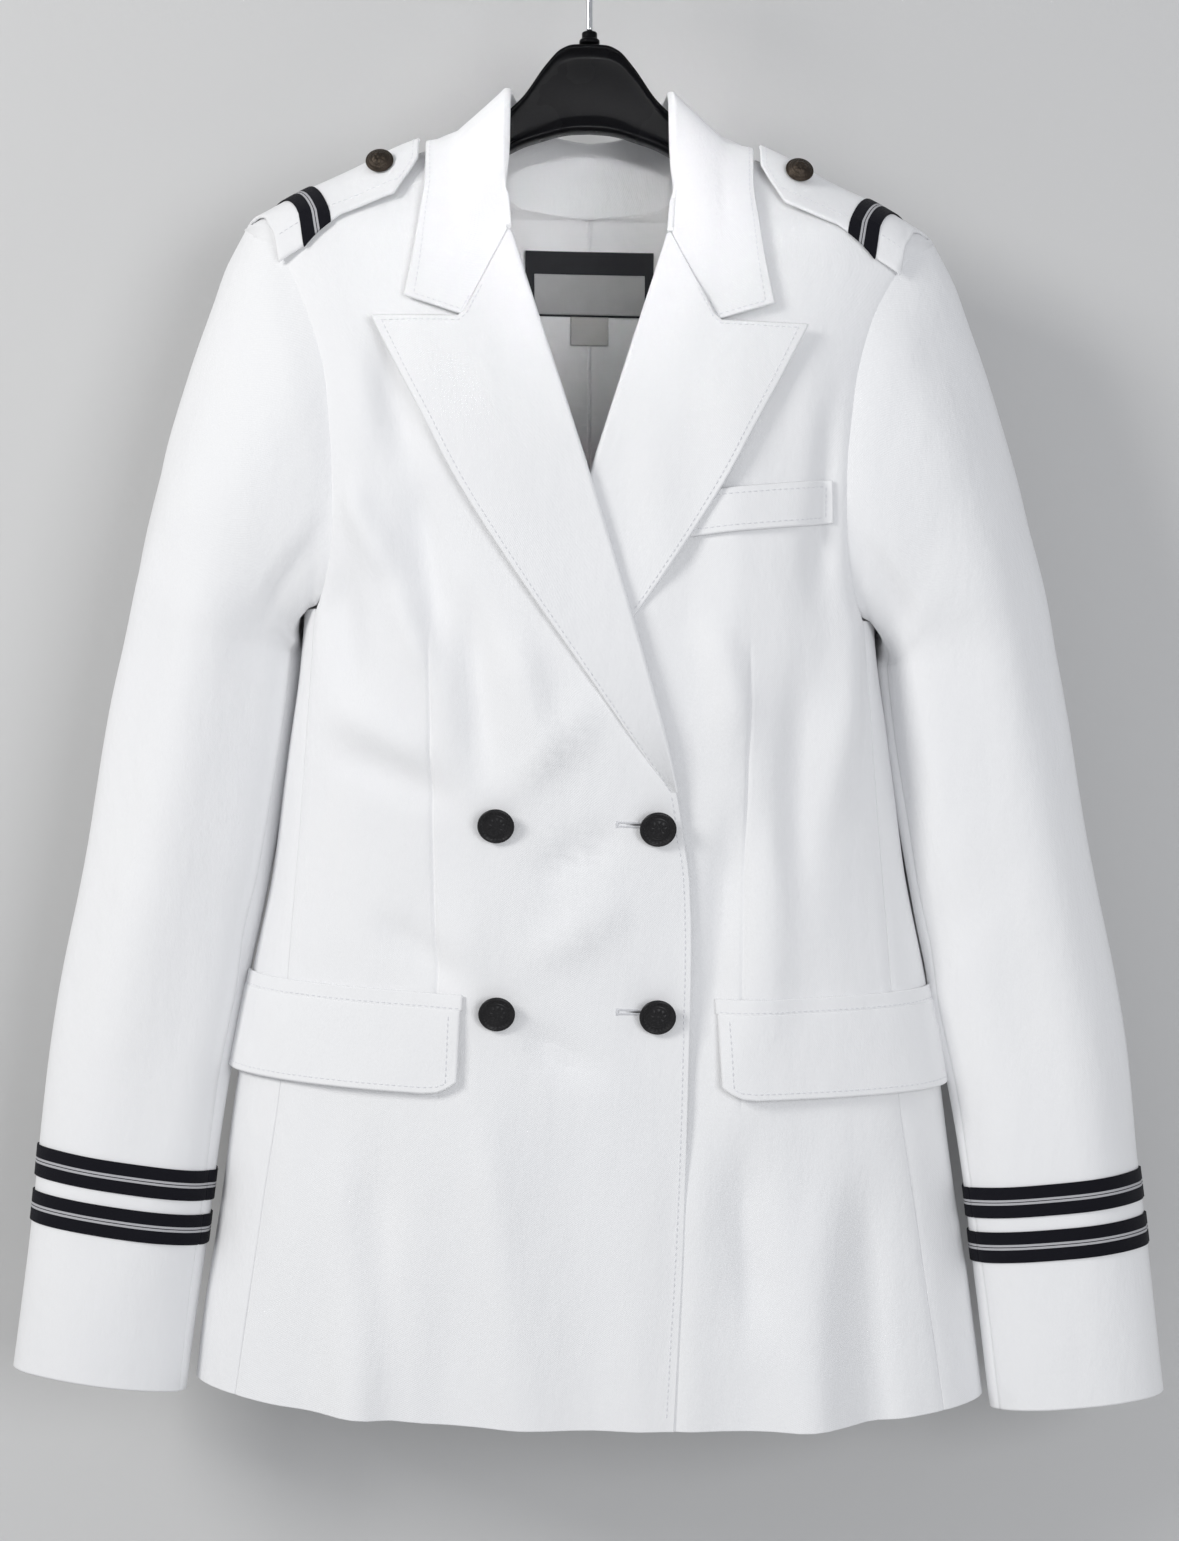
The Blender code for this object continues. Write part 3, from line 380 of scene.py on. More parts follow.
def back_angle(x, z):
    """The same angle where the point lies on the back."""
    return np.pi - front_angle(x, z)


def ripple(a, b):
    """Uneven slow waves between -1 and 1: the mean of four sines of unlike length and direction."""
    waves = ((0.029, 0.012, 0.4), (-0.019, 0.041, 1.9), (0.052, -0.017, 3.1), (0.037, 0.066, 4.4))
    return sum(np.sin(a * p + b * q + s + np.sin(b * p - a * q)) for p, q, s in waves) / 4


CREASES = (  # side, start u and z, end u and z, width, height, whether it runs on to the hem
    (-1, 134, -318, 98, -386, 9, 6.2, 0), (-1, 104, -372, 84, -432, 8, 4.6, 0), (-1, 140, -350, 124, -452, 12, -5.7, 0),
    (-1, 116, -226, 92, -330, 10, -7.3, 0), (-1, 96, -310, 76, -430, 10, -7.3, 0),
    (-1, 66, -372, 54, -500, 10, -8.6, 0),
    (-1, 40, -395, 22, -480, 9, 5.4, 0), (-1, 152, -462, 58, -500, 8, -3.4, 0), (-1, 146, -440, 66, -478, 8, 3.8, 0),
    (-1, 45, -494, -12, -428, 8, 4.9, 0), (-1, 34, -538, -22, -502, 7, -4.3, 0), (-1, 54, -600, 118, -552, 9, -4.0, 0),
    (-1, 34, -584, -22, -536, 9, 4.6, 0), (-1, 40, -612, -8, -640, 9, -4.3, 0), (-1, 58, -626, 38, -818, 15, 4.8, 1),
    (-1, 112, -655, 105, -818, 12, -5.2, 1), (-1, 131, -660, 128, -818, 10, 2.8, 1),
    (-1, 12, -640, 2, -818, 13, -2.2, 1),
    (-1, -30, -650, -26, -818, 10, 1.6, 1),
    (1, 78, -480, 62, -640, 10, -7.8, 0), (1, 98, -480, 92, -640, 12, 4.3, 0), (1, 152, -318, 128, -516, 11, 6.8, 0),
    (1, 134, -262, 120, -402, 10, -7.0, 0), (1, 112, -400, 108, -560, 10, -4.9, 0),
    (1, 78, -655, 90, -790, 12, -7.6, 0),
    (1, 124, -668, 118, -818, 13, 4.6, 1), (1, 146, -668, 152, -818, 10, -4.0, 1), (1, 56, -650, 52, -818, 12, 3.6, 1),
    (1, 60, -380, 84, -470, 10, 4.6, 0),
)


def cloth_give(side, u, z):
    """How far a front stands off its even shape: slow waves drawn out downwards, and creases, each a bell across a
    straight line that fades at its ends. It dies out at the side seam and the armhole."""
    total = 1.5 * ripple(side * u * 1.5, z * 0.4) * (0.45 + 0.55 * ease((-520 - z) / 150))
    for on_side, u_from, z_from, u_to, z_to, width, height, runs_on in CREASES:
        if side != on_side:
            continue
        along, down = u_to - u_from, z_to - z_from
        t = ((u - u_from) * along + (z - z_from) * down) / (along**2 + down**2)
        off = ((u - u_from) * down - (z - z_from) * along) / np.hypot(along, down)
        fade = ease(2.6 * t) * (1 if runs_on else ease(2.6 * (1 - t)))
        total = total + height * fade * np.exp(-((off / width) ** 2))
    border = np.where(z > UNDERARM_Z, read(ARMHOLE, z), read(SIDE_SEAMS, z))
    return total * ease((border - u) / 14)


def under_drop(side, u, z):
    """How far the under front lies below the top one, blended out beyond the overlap."""
    return 0.0 * u if side < 0 else -read(UNDER_DEPTH, z) * (1 - ease((u - 50) / 30))


def on_front(side, u, z, lift=0.0, give=1.0):
    """A point of a front's cloth, moved out by lift, with as much of the creases as give says."""
    lift = lift + under_drop(side, u, z) + give * cloth_give(side, u, z)
    return on_body(front_angle(u, z), z, lift) * (side, 1, 1)


def hem_height(level, angle):
    """The hem hangs lower in front: rows near it follow it, rows well above stay level."""
    x = body_point(angle, level)[..., 0]
    drop = 14.0 * (1 - np.clip(np.abs(x) / 217.0, 0, 1) ** 3) * (np.cos(angle) > 0)
    return level - drop * ease((-640.0 - level) / 170.0)


def spaced(length, step, tight=(0, 0.5, 1.3, 2.8)):
    """Shares from 0 to 1 along a length, close together at both ends so that a border can be rounded."""
    first, last = tight[-1] + 0.6 * step, length - tight[-1] - 0.6 * step
    middle = np.linspace(first, last, max(int((last - first) / step), 1) + 1)
    return np.concatenate([tight, middle, length - np.array(tight[::-1])]) / length


def cut_size(outer):
    """The cut's width and length, its longest row and column, and its area, the sum of its cells."""
    across, down = (np.linalg.norm(np.diff(outer, axis=k), axis=-1).sum(axis=k).max() for k in (1, 0))
    one, two = outer[1:, 1:] - outer[:-1, :-1], outer[:-1, 1:] - outer[1:, :-1]
    area = np.linalg.norm(np.cross(one, two), axis=-1).sum() / 2
    return across * MM, down * MM, area * MM * MM


def cloth(name, outer, inner, finishes, nodes, slot="white_twill", edge=0.15):
    """One piece of cloth with its own thickness: an outer and an inner grid of points, joined round the border through
    a line of points halfway between them that stands out by edge, so that the border is rounded. The second finish,
    where there is one, goes on the inner side."""
    rows, columns = outer.shape[:2]
    outer, inner = hung(outer), hung(inner)
    count = rows * columns
    index = np.arange(count).reshape(rows, columns)
    border = np.concatenate([index[0], index[1:, -1], index[-1, -2::-1], index[-2:0:-1, 0]])
    i, j = np.divmod(border, columns)
    halfway = (outer + inner) / 2
    rim = halfway[i, j]
    rim = rim + edge * unit(rim - halfway[np.clip(i, 1, rows - 2), np.clip(j, 1, columns - 2)])
    here, there = np.arange(len(border)), np.roll(np.arange(len(border)), -1)
    ring = 2 * count
    strips = [
        np.stack([border[there], border[here], ring + here, ring + there], axis=-1),
        np.stack([ring + there, ring + here, count + border[here], count + border[there]], axis=-1),
    ]
    sheet = grid_faces(rows, columns)
    faces = np.concatenate([sheet, *strips, sheet[:, [0, 3, 2, 1]] + count])
    points = np.concatenate([outer.reshape(-1, 3), inner.reshape(-1, 3), rim])
    steps = [np.linalg.norm(np.diff(outer, axis=k), axis=-1).mean(axis=1 - k) for k in (1, 0)]
    across, down = (np.append(0, np.cumsum(step)) for step in steps)
    places = np.stack(np.meshgrid(across, down), axis=-1).reshape(-1, 2)
    places = np.concatenate([places, places, places[border]])
    inside = np.arange(len(faces)) >= len(faces) - len(sheet) if len(finishes) > 1 else None
    piece = put_together(name, points, faces, finishes, places=places, second=inside)
    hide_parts(*nodes)
    width, length, area = cut_size(outer)
    return piece


white_twill = Finish("white_twill", Roughness=0.72, Sheen_Weight=0.1, Sheen_Roughness=0.4, Specular_IOR_Level=0.35)
weave = white_twill.node("ShaderNodeUVMap", {"uv_map": "weave"})
spot = white_twill.node("ShaderNodeTexCoord", output="Object")
ribbed = {"Vector": weave, "Scale": 560, "Distortion": 0.6}
lines = white_twill.node("ShaderNodeTexWave", {"bands_direction": "DIAGONAL"}, ribbed, 1)
drawn = white_twill.node("ShaderNodeMapping", {}, {"Vector": spot, "Scale": (1, 1, 0.45)})
soft, fine = white_twill.noise(drawn, 12, 3, 0.6), white_twill.noise(drawn, 60, 4, 0.65)
tone = white_twill.mix(soft, (0.86, 0.865, 0.88, 1), (0.91, 0.91, 0.91, 1))
white_twill.paint("Base Color", white_twill.mix(0.1 * lines, tone, (0.7, 0.71, 0.74, 1)))
white_twill.paint("Roughness", 0.64 + 0.14 * fine)
white_twill.bump(0.06 * lines + 0.9 * fine + 2.4 * soft, 0.0010, 1.0)

lining = Finish("grey_white_lining", Sheen_Weight=0.05, Specular_IOR_Level=0.4)
weave = lining.node("ShaderNodeUVMap", {"uv_map": "weave"})
spot = lining.node("ShaderNodeTexCoord", output="Object")
ribbed = {"Vector": weave, "Scale": 900, "Distortion": 0.4}
thread = lining.node("ShaderNodeTexWave", {"bands_direction": "X"}, ribbed, 1)
soft = lining.noise(spot, 16, 4, 0.6)
tone = lining.mix(soft, (0.85, 0.85, 0.855, 1), (0.91, 0.91, 0.91, 1))
lining.paint("Base Color", lining.mix(0.12 * thread, tone, (0.6, 0.6, 0.62, 1)))
lining.paint("Roughness", 0.5 + 0.2 * soft)
lining.bump(0.04 * thread + 3.0 * soft, 0.0012, 0.8)

# The armhole's ring: from the shoulder tip down the front, under the arm and up the back. The seams between the
# panels are dips in the cloth, and the panels' borders stop a hair short of each other.
COLUMNS = 22
FRONT_COLUMNS, BACK_COLUMNS = (8, 0), (14, 22)
SEAM_DIP, SEAM_SPREAD, SEAM_GAP = 0.55, 2.4, 0.0012
TOP_Z = -129.3
rise = np.array([-182, -198, -216, -240, -270, -300, -333, -366, UNDERARM_Z])
down_front = front_angle(read(ARMHOLE, rise), rise)
down_front[0] = np.pi / 2
up_back = back_angle(read(ARMHOLE, rise, 2), rise)
under_arm = np.linspace(down_front[-1], up_back[-1], 7)[1:-1]
RING_ANGLES = np.concatenate([down_front, under_arm, up_back[:0:-1]])
RING_HEIGHTS = np.concatenate([rise, np.full(5, UNDERARM_Z), rise[:0:-1]])


def armhole_point(column):
    """The angle and height on the body of a place on the armhole's ring, as smooth curves through its corners."""
    places = np.arange(COLUMNS + 1)
    angle = curve(column, places, np.append(RING_ANGLES, RING_ANGLES[0]))
    return angle, curve(column, places, np.append(RING_HEIGHTS, RING_HEIGHTS[0]))


SIDES = ((-1, "right"), (1, "left"))
front_ring, back_ring = (armhole_point(np.linspace(*ends, 400)) for ends in (FRONT_COLUMNS, BACK_COLUMNS))
levels = HEM_Z + (TOP_Z - HEM_Z) * spaced(TOP_Z - HEM_Z, 6.0)
for side, word in SIDES:
    # Front: two runs of columns, from the front edge to the dart and from the dart to the side seam and armhole.
    z = levels[:, None]
    low, high = front_angle(read(SIDE_SEAMS, z), z), np.interp(z, front_ring[1], front_ring[0])
    seam_angle = np.where(z <= UNDERARM_Z, low, high)
    inner_angle = front_angle(read(FRONT_EDGE, z), z)
    outer_angle = np.where(z > TIP_Z, np.pi / 2, seam_angle - SEAM_GAP)
    halfway = (inner_angle + outer_angle) / 2
    dart_angle = halfway + (front_angle(read(DART, z), z) - halfway) * (1 - ease((z + 330) / 110))
    run = spaced(100, 5.0)
    inner_run, outer_run = (dart_angle - inner_angle) * run, (outer_angle - dart_angle) * run[1:]
    angle = np.concatenate([inner_angle + inner_run, dart_angle + outer_run], axis=1)
    height = hem_height(z + 0 * angle, angle)
    point = body_point(angle, height)
    u = point[..., 0]
    off_dart = np.abs(u - read(DART, z))
    off_seam = np.linalg.norm(point - body_point(outer_angle + 0 * z, height[:, -1:]), axis=-1)
    dart = 1.1 * np.exp(-((off_dart / 0.9) ** 2)) * (1 - ease((z + 440) / 40)) * ease((z + 650) / 8)
    dart = dart + 0.8 * np.exp(-((off_dart / 9.0) ** 2)) * (1 - ease((z + 470) / 80)) * ease((z + 650) / 30)
    lift = under_drop(side, u, height) + cloth_give(side, u, height)
    lift = lift - dart - SEAM_DIP * np.exp(-((off_seam / SEAM_SPREAD) ** 2))
    walls = [on_body(angle, height, lift - depth) * (side, 1, 1) for depth in (0, WALL)]
    cloth(f"front_panel_{word}", *walls, [white_twill.material, lining.material], [f"front_{word}"])

    # Side: one panel from the front seam round under the arm to the back seam.
    z = (HEM_Z + (UNDERARM_Z - 0.9 - HEM_Z) * spaced(418, 7.0))[:, None]
    low, high = front_angle(read(SIDE_SEAMS, z), z) + SEAM_GAP, back_angle(read(SIDE_SEAMS, z, 2), z) - SEAM_GAP
    angle = low + (high - low) * spaced(95, 5.0)
    height = hem_height(z + 0 * angle, angle)
    point = body_point(angle, height)
    near = np.minimum(*(np.linalg.norm(point - point[:, [k]], axis=-1) for k in (0, -1)))
    lift = -SEAM_DIP * np.exp(-((near / SEAM_SPREAD) ** 2)) + 0.5 * ripple(40 * angle * side, height)
    walls = [on_body(angle, height, lift - depth) * (side, 1, 1) for depth in (0, WALL)]
    cloth(f"side_body_{word}", *walls, [white_twill.material, lining.material], [f"side_panel_{word}"])

    # Back: from the back seam and armhole to the centre back, and up to the collar.
    z = levels[:, None]
    low, high = back_angle(read(SIDE_SEAMS, z, 2), z), np.interp(z, back_ring[1], back_ring[0])
    outer_angle = np.where(z > TIP_Z, np.pi / 2, np.where(z <= UNDERARM_Z, low, high) + SEAM_GAP)
    neck = NECK_X * np.clip((z - BACK_NECK_Z) / (NECK_Z - BACK_NECK_Z), 0, 1) ** 0.2
    angle = outer_angle + (back_angle(np.maximum(neck, 0.15), z) - outer_angle) * spaced(160, 6.0)
    height = z + 0 * angle
    point = body_point(angle, height)
    near = np.minimum(*(np.linalg.norm(point - point[:, [k]], axis=-1) for k in (0, -1)))
    lift = -SEAM_DIP * np.exp(-((near / SEAM_SPREAD) ** 2))
    lift = lift + 0.8 * ripple(point[..., 0] * side + 90, height) * ease(near / 20)
    walls = [on_body(angle, height, lift - depth) * (side, 1, 1) for depth in (0, WALL)]
    cloth(f"back_panel_{word}", *walls, [white_twill.material, lining.material], [f"back_{word}"])

# ---------------------------------------------------------------------------------------------------------------
# Sleeves. Two-piece sleeves of the same twill, set into the armholes with a little fullness over the shoulder. The
# top sleeve faces forward and out; the under sleeve lies against the body. The seams run just inside the outline.
SLEEVE = np.array([  # along, x, z, y, half width, half depth
    (0, 205.5, -409, -1, 48.5, 42), (51, 213.5, -460, -3, 50, 40), (110, 222.5, -519, -5, 50, 37),
    (171, 233.5, -580, -7, 50, 34), (237, 245.5, -646, -10, 48.5, 31), (325, 257, -734, -13, 47.5, 28),
    (402, 266, -811, -14, 47, 26),
])
SLEEVE_LENGTH = 402.0
FRONT_SEAM, BACK_SEAM = 9, 18
SIDE_TURNS = (225, 250, 275, 300, 320, 334, 348)
TURNS = np.radians(np.concatenate([np.linspace(0, 150, 9), np.linspace(160, 205, 6), SIDE_TURNS]))


def sleeve_point(column, t):
    """A sleeve's outer surface: from the armhole (t = -1) over the cap to t = 0, then down ovals square to the
    sleeve's axis to the cuff at t = 1. The cap's lines leave the shoulder outwards and arrive along the axis."""
    turn = curve(column, np.arange(COLUMNS + 1), np.append(TURNS, 2 * np.pi))
    start = on_body(*armhole_point(column), 0 * turn)

    def oval(along):
        """The point at this turn of the oval that is square to the axis, this far down the sleeve."""
        centre = np.stack([read(SLEEVE, along, k) for k in (1, 3, 2)], axis=-1)
        x, z = (read(SLEEVE, along + 8.0, k) - read(SLEEVE, along - 8.0, k) for k in (1, 2))
        wide = unit(np.stack([-z, 0 * x, x], axis=-1))
        across, deep = read(SLEEVE, along, 4) * np.cos(turn), -read(SLEEVE, along, 5) * np.sin(turn)
        return centre + wide * across[..., None] + deep[..., None] * np.array([0, 1.0, 0])

    top = oval(0 * t)
    length = np.linalg.norm(top - start, axis=-1, keepdims=True)
    lean = np.stack([0.15 + 0.1 * np.abs(np.sin(turn)), -0.3 * np.sin(turn), 0 * turn], axis=-1)
    lean = np.where(np.cos(turn)[..., None] > -0.5, lean, (0.6, 0, 0))
    leave = 0.9 * (top - start) + lean * length
    arrive = length * np.array([0.17, 0, -0.985]) * 0.95
    s = np.minimum(t + 1, 1)[..., None]
    cap = (2 * s**3 - 3 * s**2 + 1) * start + (s**3 - 2 * s**2 + s) * leave
    cap = cap + (3 * s**2 - 2 * s**3) * top + (s**3 - s**2) * arrive
    return np.where(t[..., None] < 0, cap, oval(np.clip(t, 0, 1) * SLEEVE_LENGTH))


def sleeve_give(side, column, t):
    """How far the cloth stands off the even sleeve: a soft roll round the sleeve head, fine hollows fanning out from
    the armhole, a crease inside the elbow and slow waves below it."""
    head = 1.2 * np.exp(-(((t + 0.9) / 0.07) ** 2)) * np.cos(column / COLUMNS * 2 * np.pi)
    fan = 0.6 * np.sin(column * 2.3 + side) * np.exp(-(((t + 0.75) / 0.3) ** 2))
    waves = 1.9 * ripple(column * 17, t * 190 + 60 * side) * ease((t + 0.7) / 0.5)
    middle = ease((t + 0.5) / 0.4) * (1 - ease((t - 0.55) / 0.3))
    waves = waves + 1.2 * np.sin(column * 1.9 + 0.8 * side + 1.5 * t) * middle
    elbow = 2.2 * np.exp(-(((t - 0.36 - 0.02 * (column - 8)) / 0.05) ** 2)) * np.exp(-(((column - 8) / 3.5) ** 2))
    return head + fan + waves - elbow


def on_sleeve(side, column, t, lift=0.0):
    """A point of the sleeve, moved out from its axis by lift."""
    across = sleeve_point((column + 0.05) % COLUMNS, t) - sleeve_point((column - 0.05) % COLUMNS, t)
    below, above = (sleeve_point(column % COLUMNS, np.minimum(t + step, 1)) for step in (0.004, -0.004))
    drop = below - above
    lift = np.asarray(lift + sleeve_give(side, column % COLUMNS, t))[..., None]
    return (sleeve_point(column % COLUMNS, t) + unit(np.cross(across, drop)) * lift) * (side, 1, 1)


for side, word in SIDES:
    parts = (("top", BACK_SEAM, COLUMNS + FRONT_SEAM, 190), ("under", FRONT_SEAM, BACK_SEAM, 95))
    for part, first, last, girth in parts:
        t = -1.025 + 2.025 * spaced(640, 6.0)
        column, t = np.meshgrid(first + 0.012 + (last - first - 0.024) * spaced(girth, 5.0), t)
        near = np.minimum(column - first, last - column) * girth / (last - first)
        seam = 0.6 * np.exp(-((near / 2.2) ** 2))
        walls = [on_sleeve(side, column, t, -seam - depth) for depth in (0, WALL)]
        finishes = [white_twill.material, lining.material]
        cloth(f"{part}_sleeve_cloth_{word}", *walls, finishes, [f"{part}_sleeve_{word}"], edge=0.7)

# ---------------------------------------------------------------------------------------------------------------
# Lapels. Peaked lapels in one with the facing: each turns back over the front's edge in a soft roll and is pressed
# flat, with a row of stitches a few millimetres in from its edge.
LAPEL_EDGE = np.array([  # z, u
    (-491, -46), (-433, -5.2), (-365, 43), (-321.5, 70.3), (-289, 87.4), (-257.6, 104.5), (-238, 114.3),
])
ROLL_TOP, GORGE, PEAK, COLLAR_POINT = (43.5, -188.0), (67.0, -238.0), (114.3, -238.0), (97.4, -228.0)
LAPEL_SPRING = 3.8


def bent(share, corner, start, middle, end):
    """Points along two straight lines from start by way of middle, reached at the share corner, to end."""
    return np.stack([np.interp(share, (0, corner, 1), spot) for spot in zip(start, middle, end)], axis=-1)


def stitches(name, rows, finish, pitch=3.3, length=2.5, thick=0.27):
    """Rows of machine stitches: along each path, spindles laid end to end, each a ring of six points carried over five
    stations, lifted in its middle and drawn into the cloth at its ends."""
    station = np.linspace(-1, 1, 5)
    turn = np.linspace(0, 2 * np.pi, 6, endpoint=False)
    girth = thick * np.array([0.45, 0.9, 1, 0.9, 0.45])
    threads = []
    for path, outward in rows:
        along = np.append(0, np.cumsum(np.linalg.norm(np.diff(path, axis=0), axis=1)))
        middle = np.arange(pitch / 2, along[-1] - pitch / 3, pitch)
        place = middle[:, None] + station * length / 2
        spot, up = (
            np.stack([np.interp(place, along, values[:, k]) for k in range(3)], axis=-1) for values in (path, outward)
        )
        ahead = unit(np.gradient(spot, axis=1))
        up = unit(up)
        aside = np.cross(ahead, up)
        spot = spot + up * (0.16 - 0.3 * station**2)[:, None]
        ring = np.cos(turn)[:, None] * aside[:, :, None] + np.sin(turn)[:, None] * up[:, :, None]
        threads.append(spot[:, :, None] + ring * girth[:, None, None])
    points = hung(np.concatenate(threads))
    start = np.arange(len(points))[:, None, None] * 30
    faces = (grid_faces(5, 6, True) + start).reshape(-1, 4)
    caps = np.concatenate([start[:, 0] + np.arange(5, -1, -1), start[:, 0] + np.arange(24, 30)])
    piece = put_together(name, points.reshape(-1, 3), faces, [finish], caps.tolist())
    return piece


def lapel_lift(side, u, z):
    """Close to the front at the roll line, standing off towards the edge; flat where the top front covers it."""
    roll = read(FRONT_EDGE, z)
    if side < 0:
        return LAPEL_SPRING * ease((u - roll) / 70)
    return LAPEL_SPRING * ease((u + roll - 8) / 30) * ease((u - roll) / 40)


white_thread = Finish("white_thread", Roughness=0.6, Sheen_Weight=0.2)
spot = white_thread.node("ShaderNodeTexCoord", output="Object")
twist = white_thread.node("ShaderNodeTexWave", {"bands_direction": "DIAGONAL"}, {"Vector": spot, "Scale": 900})
white_thread.paint("Base Color", white_thread.mix(twist, (0.72, 0.73, 0.76, 1), (0.86, 0.86, 0.88, 1)))
white_thread.bump(twist, 0.0001, 0.6)

for side, word in SIDES:
    lowest = -486.0 if side < 0 else -440.0
    corner = np.hypot(*np.subtract(GORGE, ROLL_TOP))
    corner = corner / (corner + PEAK[0] - GORGE[0])
    bend = np.linspace(-np.pi / 2, np.pi / 2, 9)
    s, t = np.meshgrid(np.append(0 * bend, spaced(75, 4.5)[1:]), spaced(300, 5.0) * 0.998)
    bend = np.broadcast_to(np.append(bend, np.full(s.shape[1] - 9, np.pi / 2)), s.shape)
    roll_z, edge_z = lowest + (ROLL_TOP[1] - lowest) * t, lowest + (PEAK[1] - lowest) * t
    roll = np.stack([read(FRONT_EDGE, roll_z), roll_z], axis=-1)
    edge = np.stack([read(LAPEL_EDGE, edge_z), edge_z], axis=-1)
    straight = (1 - s)[..., None] * ROLL_TOP + s[..., None] * PEAK
    flat = (1 - s)[..., None] * roll + s[..., None] * edge
    flat = flat + (bent(s, corner, ROLL_TOP, GORGE, PEAK) - straight) * (t**3)[..., None]
    u, z = flat[..., 0], flat[..., 1]
    # Round the roll: from the facing inside, out over the edge, to the lapel's face.
    fade = ease((z - lowest + 4) / 42)
    radius, middle = 1.05 + 1.2 * fade, -0.85 + 1.1 * fade
    swell = 0.5 * ripple(side * u * 1.4, z * 1.2) * ease(s * 3) * (1 - ease(s * 3 - 2))
    walls = [
        on_front(
            side,
            u - (radius - depth) * np.cos(bend),
            z,
            middle + (radius - depth) * np.sin(bend) + lapel_lift(side, u, z) + swell,
            0.35,
        )
        for depth in (0, WALL)
    ]
    cloth(f"lapel_cloth_{word}", *walls, [white_twill.material], [f"lapel_{word}"], edge=0.9)
    outer, outward = walls[0], walls[0] - walls[1]
    border = [(outer[:, -4], outward[:, -4]), (outer[-4, -4:15:-1], outward[-4, -4:15:-1])]
    stitches(f"lapel_stitches_{word}", border, white_thread.material)
    if side < 0:
        # The top front's own edge is stitched from the lapel's end down to the hem.
        z = np.linspace(-488, -818, 120)
        u = read(FRONT_EDGE, z) + 3.2
        line, above = (on_front(-1, u, z, lift) for lift in (0.0, 1.0))
        stitches("front_edge_stitches", [(line, above - line)], white_thread.material)

# ---------------------------------------------------------------------------------------------------------------
# Collar. A notched collar cut in one piece round the neck: the fall lies over the shoulders, turns over at the top
# and runs down inside as the stand, where it is sewn to the neck edge. Its edge is stitched like the lapels'.
STATIONS = np.array([  # roll x, y, z, neck x, z, whether the neck point lies in front
    (46.6, -34.5, -150, 54.6, -150, 1), (47.3, -26, -127, 60.5, -133, 1), (47.5, -14, -108, 61.8, -129, 1),
    (47.5, -2, -103.5, 61.8, -129, 0), (45, 15, -107, 59, -135.5, 0), (34, 31, -116, 50, -151, 0),
    (18, 39.5, -122, 30, -162, 0), (0, 42, -124, 0, -163, 0),
])
COLLAR_EDGE = np.array([  # u, z, whether it lies in front
    (97.4, -228, 1), (93, -203, 1), (90, -180, 1), (87.5, -160, 1), (87, -138.5, 1), (84, -150, 0), (68, -164, 0),
    (38, -172, 0), (0, -176, 0),
])


def on_shoulder(x, y, lift=0.0):
    """The shoulder's surface over a point in plan, found by halving the height that it must lie in."""
    low, high = np.full(x.shape, -240.0), np.full(x.shape, -128.2)
    for _ in range(30):
        middle = (low + high) / 2
        reach = (np.abs(x) / half_width(middle)) ** ROUNDNESS
        depth = np.where(y < 0, read(BODY, middle, 2), read(BODY, middle, 3))
        outside = reach + (np.abs(y) / depth) ** ROUNDNESS > 1
        high, low = np.where(outside, middle, high), np.where(outside, low, middle)
    return on_body(np.where(y < 0, front_angle(x, low), back_angle(x, low)), low, lift)


def clear_of_body(points, gap):
    """Lifts points off the shoulders, fronts and back until they are gap clear."""
    x, y, z = np.abs(points[..., 0]), points[..., 1], points[..., 2]
    roof = on_shoulder(np.maximum(x, NECK_X + 1), y, gap + 0 * z)[..., 2] + 1.0
    points[..., 2] = z = np.where((x > NECK_X - 12) & (np.abs(y) < 40) & (z < roof), roof, z)
    shoulder = NECK_Z + (TIP_Z - NECK_Z) * np.clip((x - NECK_X) / (TIP_X - NECK_X), 0, 1) ** SHOULDER_CURVE
    over = (z < shoulder - 1) & (x < half_width(z))
    for sign, angle in ((-1, front_angle(x, z)), (1, back_angle(x, z))):
        surface, y = on_body(angle, z, gap + 0 * z)[..., 1], points[..., 1]
        points[..., 1] = np.where(over & (np.sign(y) == sign) & (sign * y < sign * surface), surface, y)
    return points


def spline_shares(count, t):
    """How much of each of count points a smooth (Catmull-Rom) curve takes at each t from 0 to 1."""
    place = np.clip(t * (count - 1), 0, count - 1 - 1e-9)
    k, f = np.floor(place).astype(int), place % 1
    parts = (-f + 2 * f**2 - f**3, 2 - 5 * f**2 + 3 * f**3, f + 4 * f**2 - 3 * f**3, f**3 - f**2)
    shares = np.zeros((len(t), count))
    for step, part in zip((-1, 0, 1, 2), parts):
        np.add.at(shares, (np.arange(len(t)), np.clip(k + step, 0, count - 1)), part / 2)
    return shares


q = np.concatenate([0.006 + spaced(360, 3.6)[:-4] * 0.994, [1.0]])[:, None]
top_u, top_z = (np.array([place]) for place in ROLL_TOP)
gorge_top = on_body(front_angle(top_u, top_z), top_z, np.array([2.5]))
roll_points = np.concatenate([gorge_top, [(44.8, -39.5, -170.0)], STATIONS[:, :3]])
angle = np.where(COLLAR_EDGE[:, 2] > 0, front_angle(*COLLAR_EDGE[:, :2].T), back_angle(*COLLAR_EDGE[:, :2].T))
edge_points = on_body(angle, COLLAR_EDGE[:, 1], 5.0 + 0 * angle)
angle = np.where(STATIONS[:, 5] > 0, front_angle(*STATIONS[:, 3:5].T), back_angle(*STATIONS[:, 3:5].T))
neck_points = on_body(angle, STATIONS[:, 4], -0.2 + 0 * angle)
neck_points = np.concatenate([roll_points[:2] * (0.985, 0.97, 1), neck_points])
corner = np.hypot(*np.subtract(GORGE, ROLL_TOP))
corner = corner / (corner + np.hypot(*np.subtract(COLLAR_POINT, GORGE)))
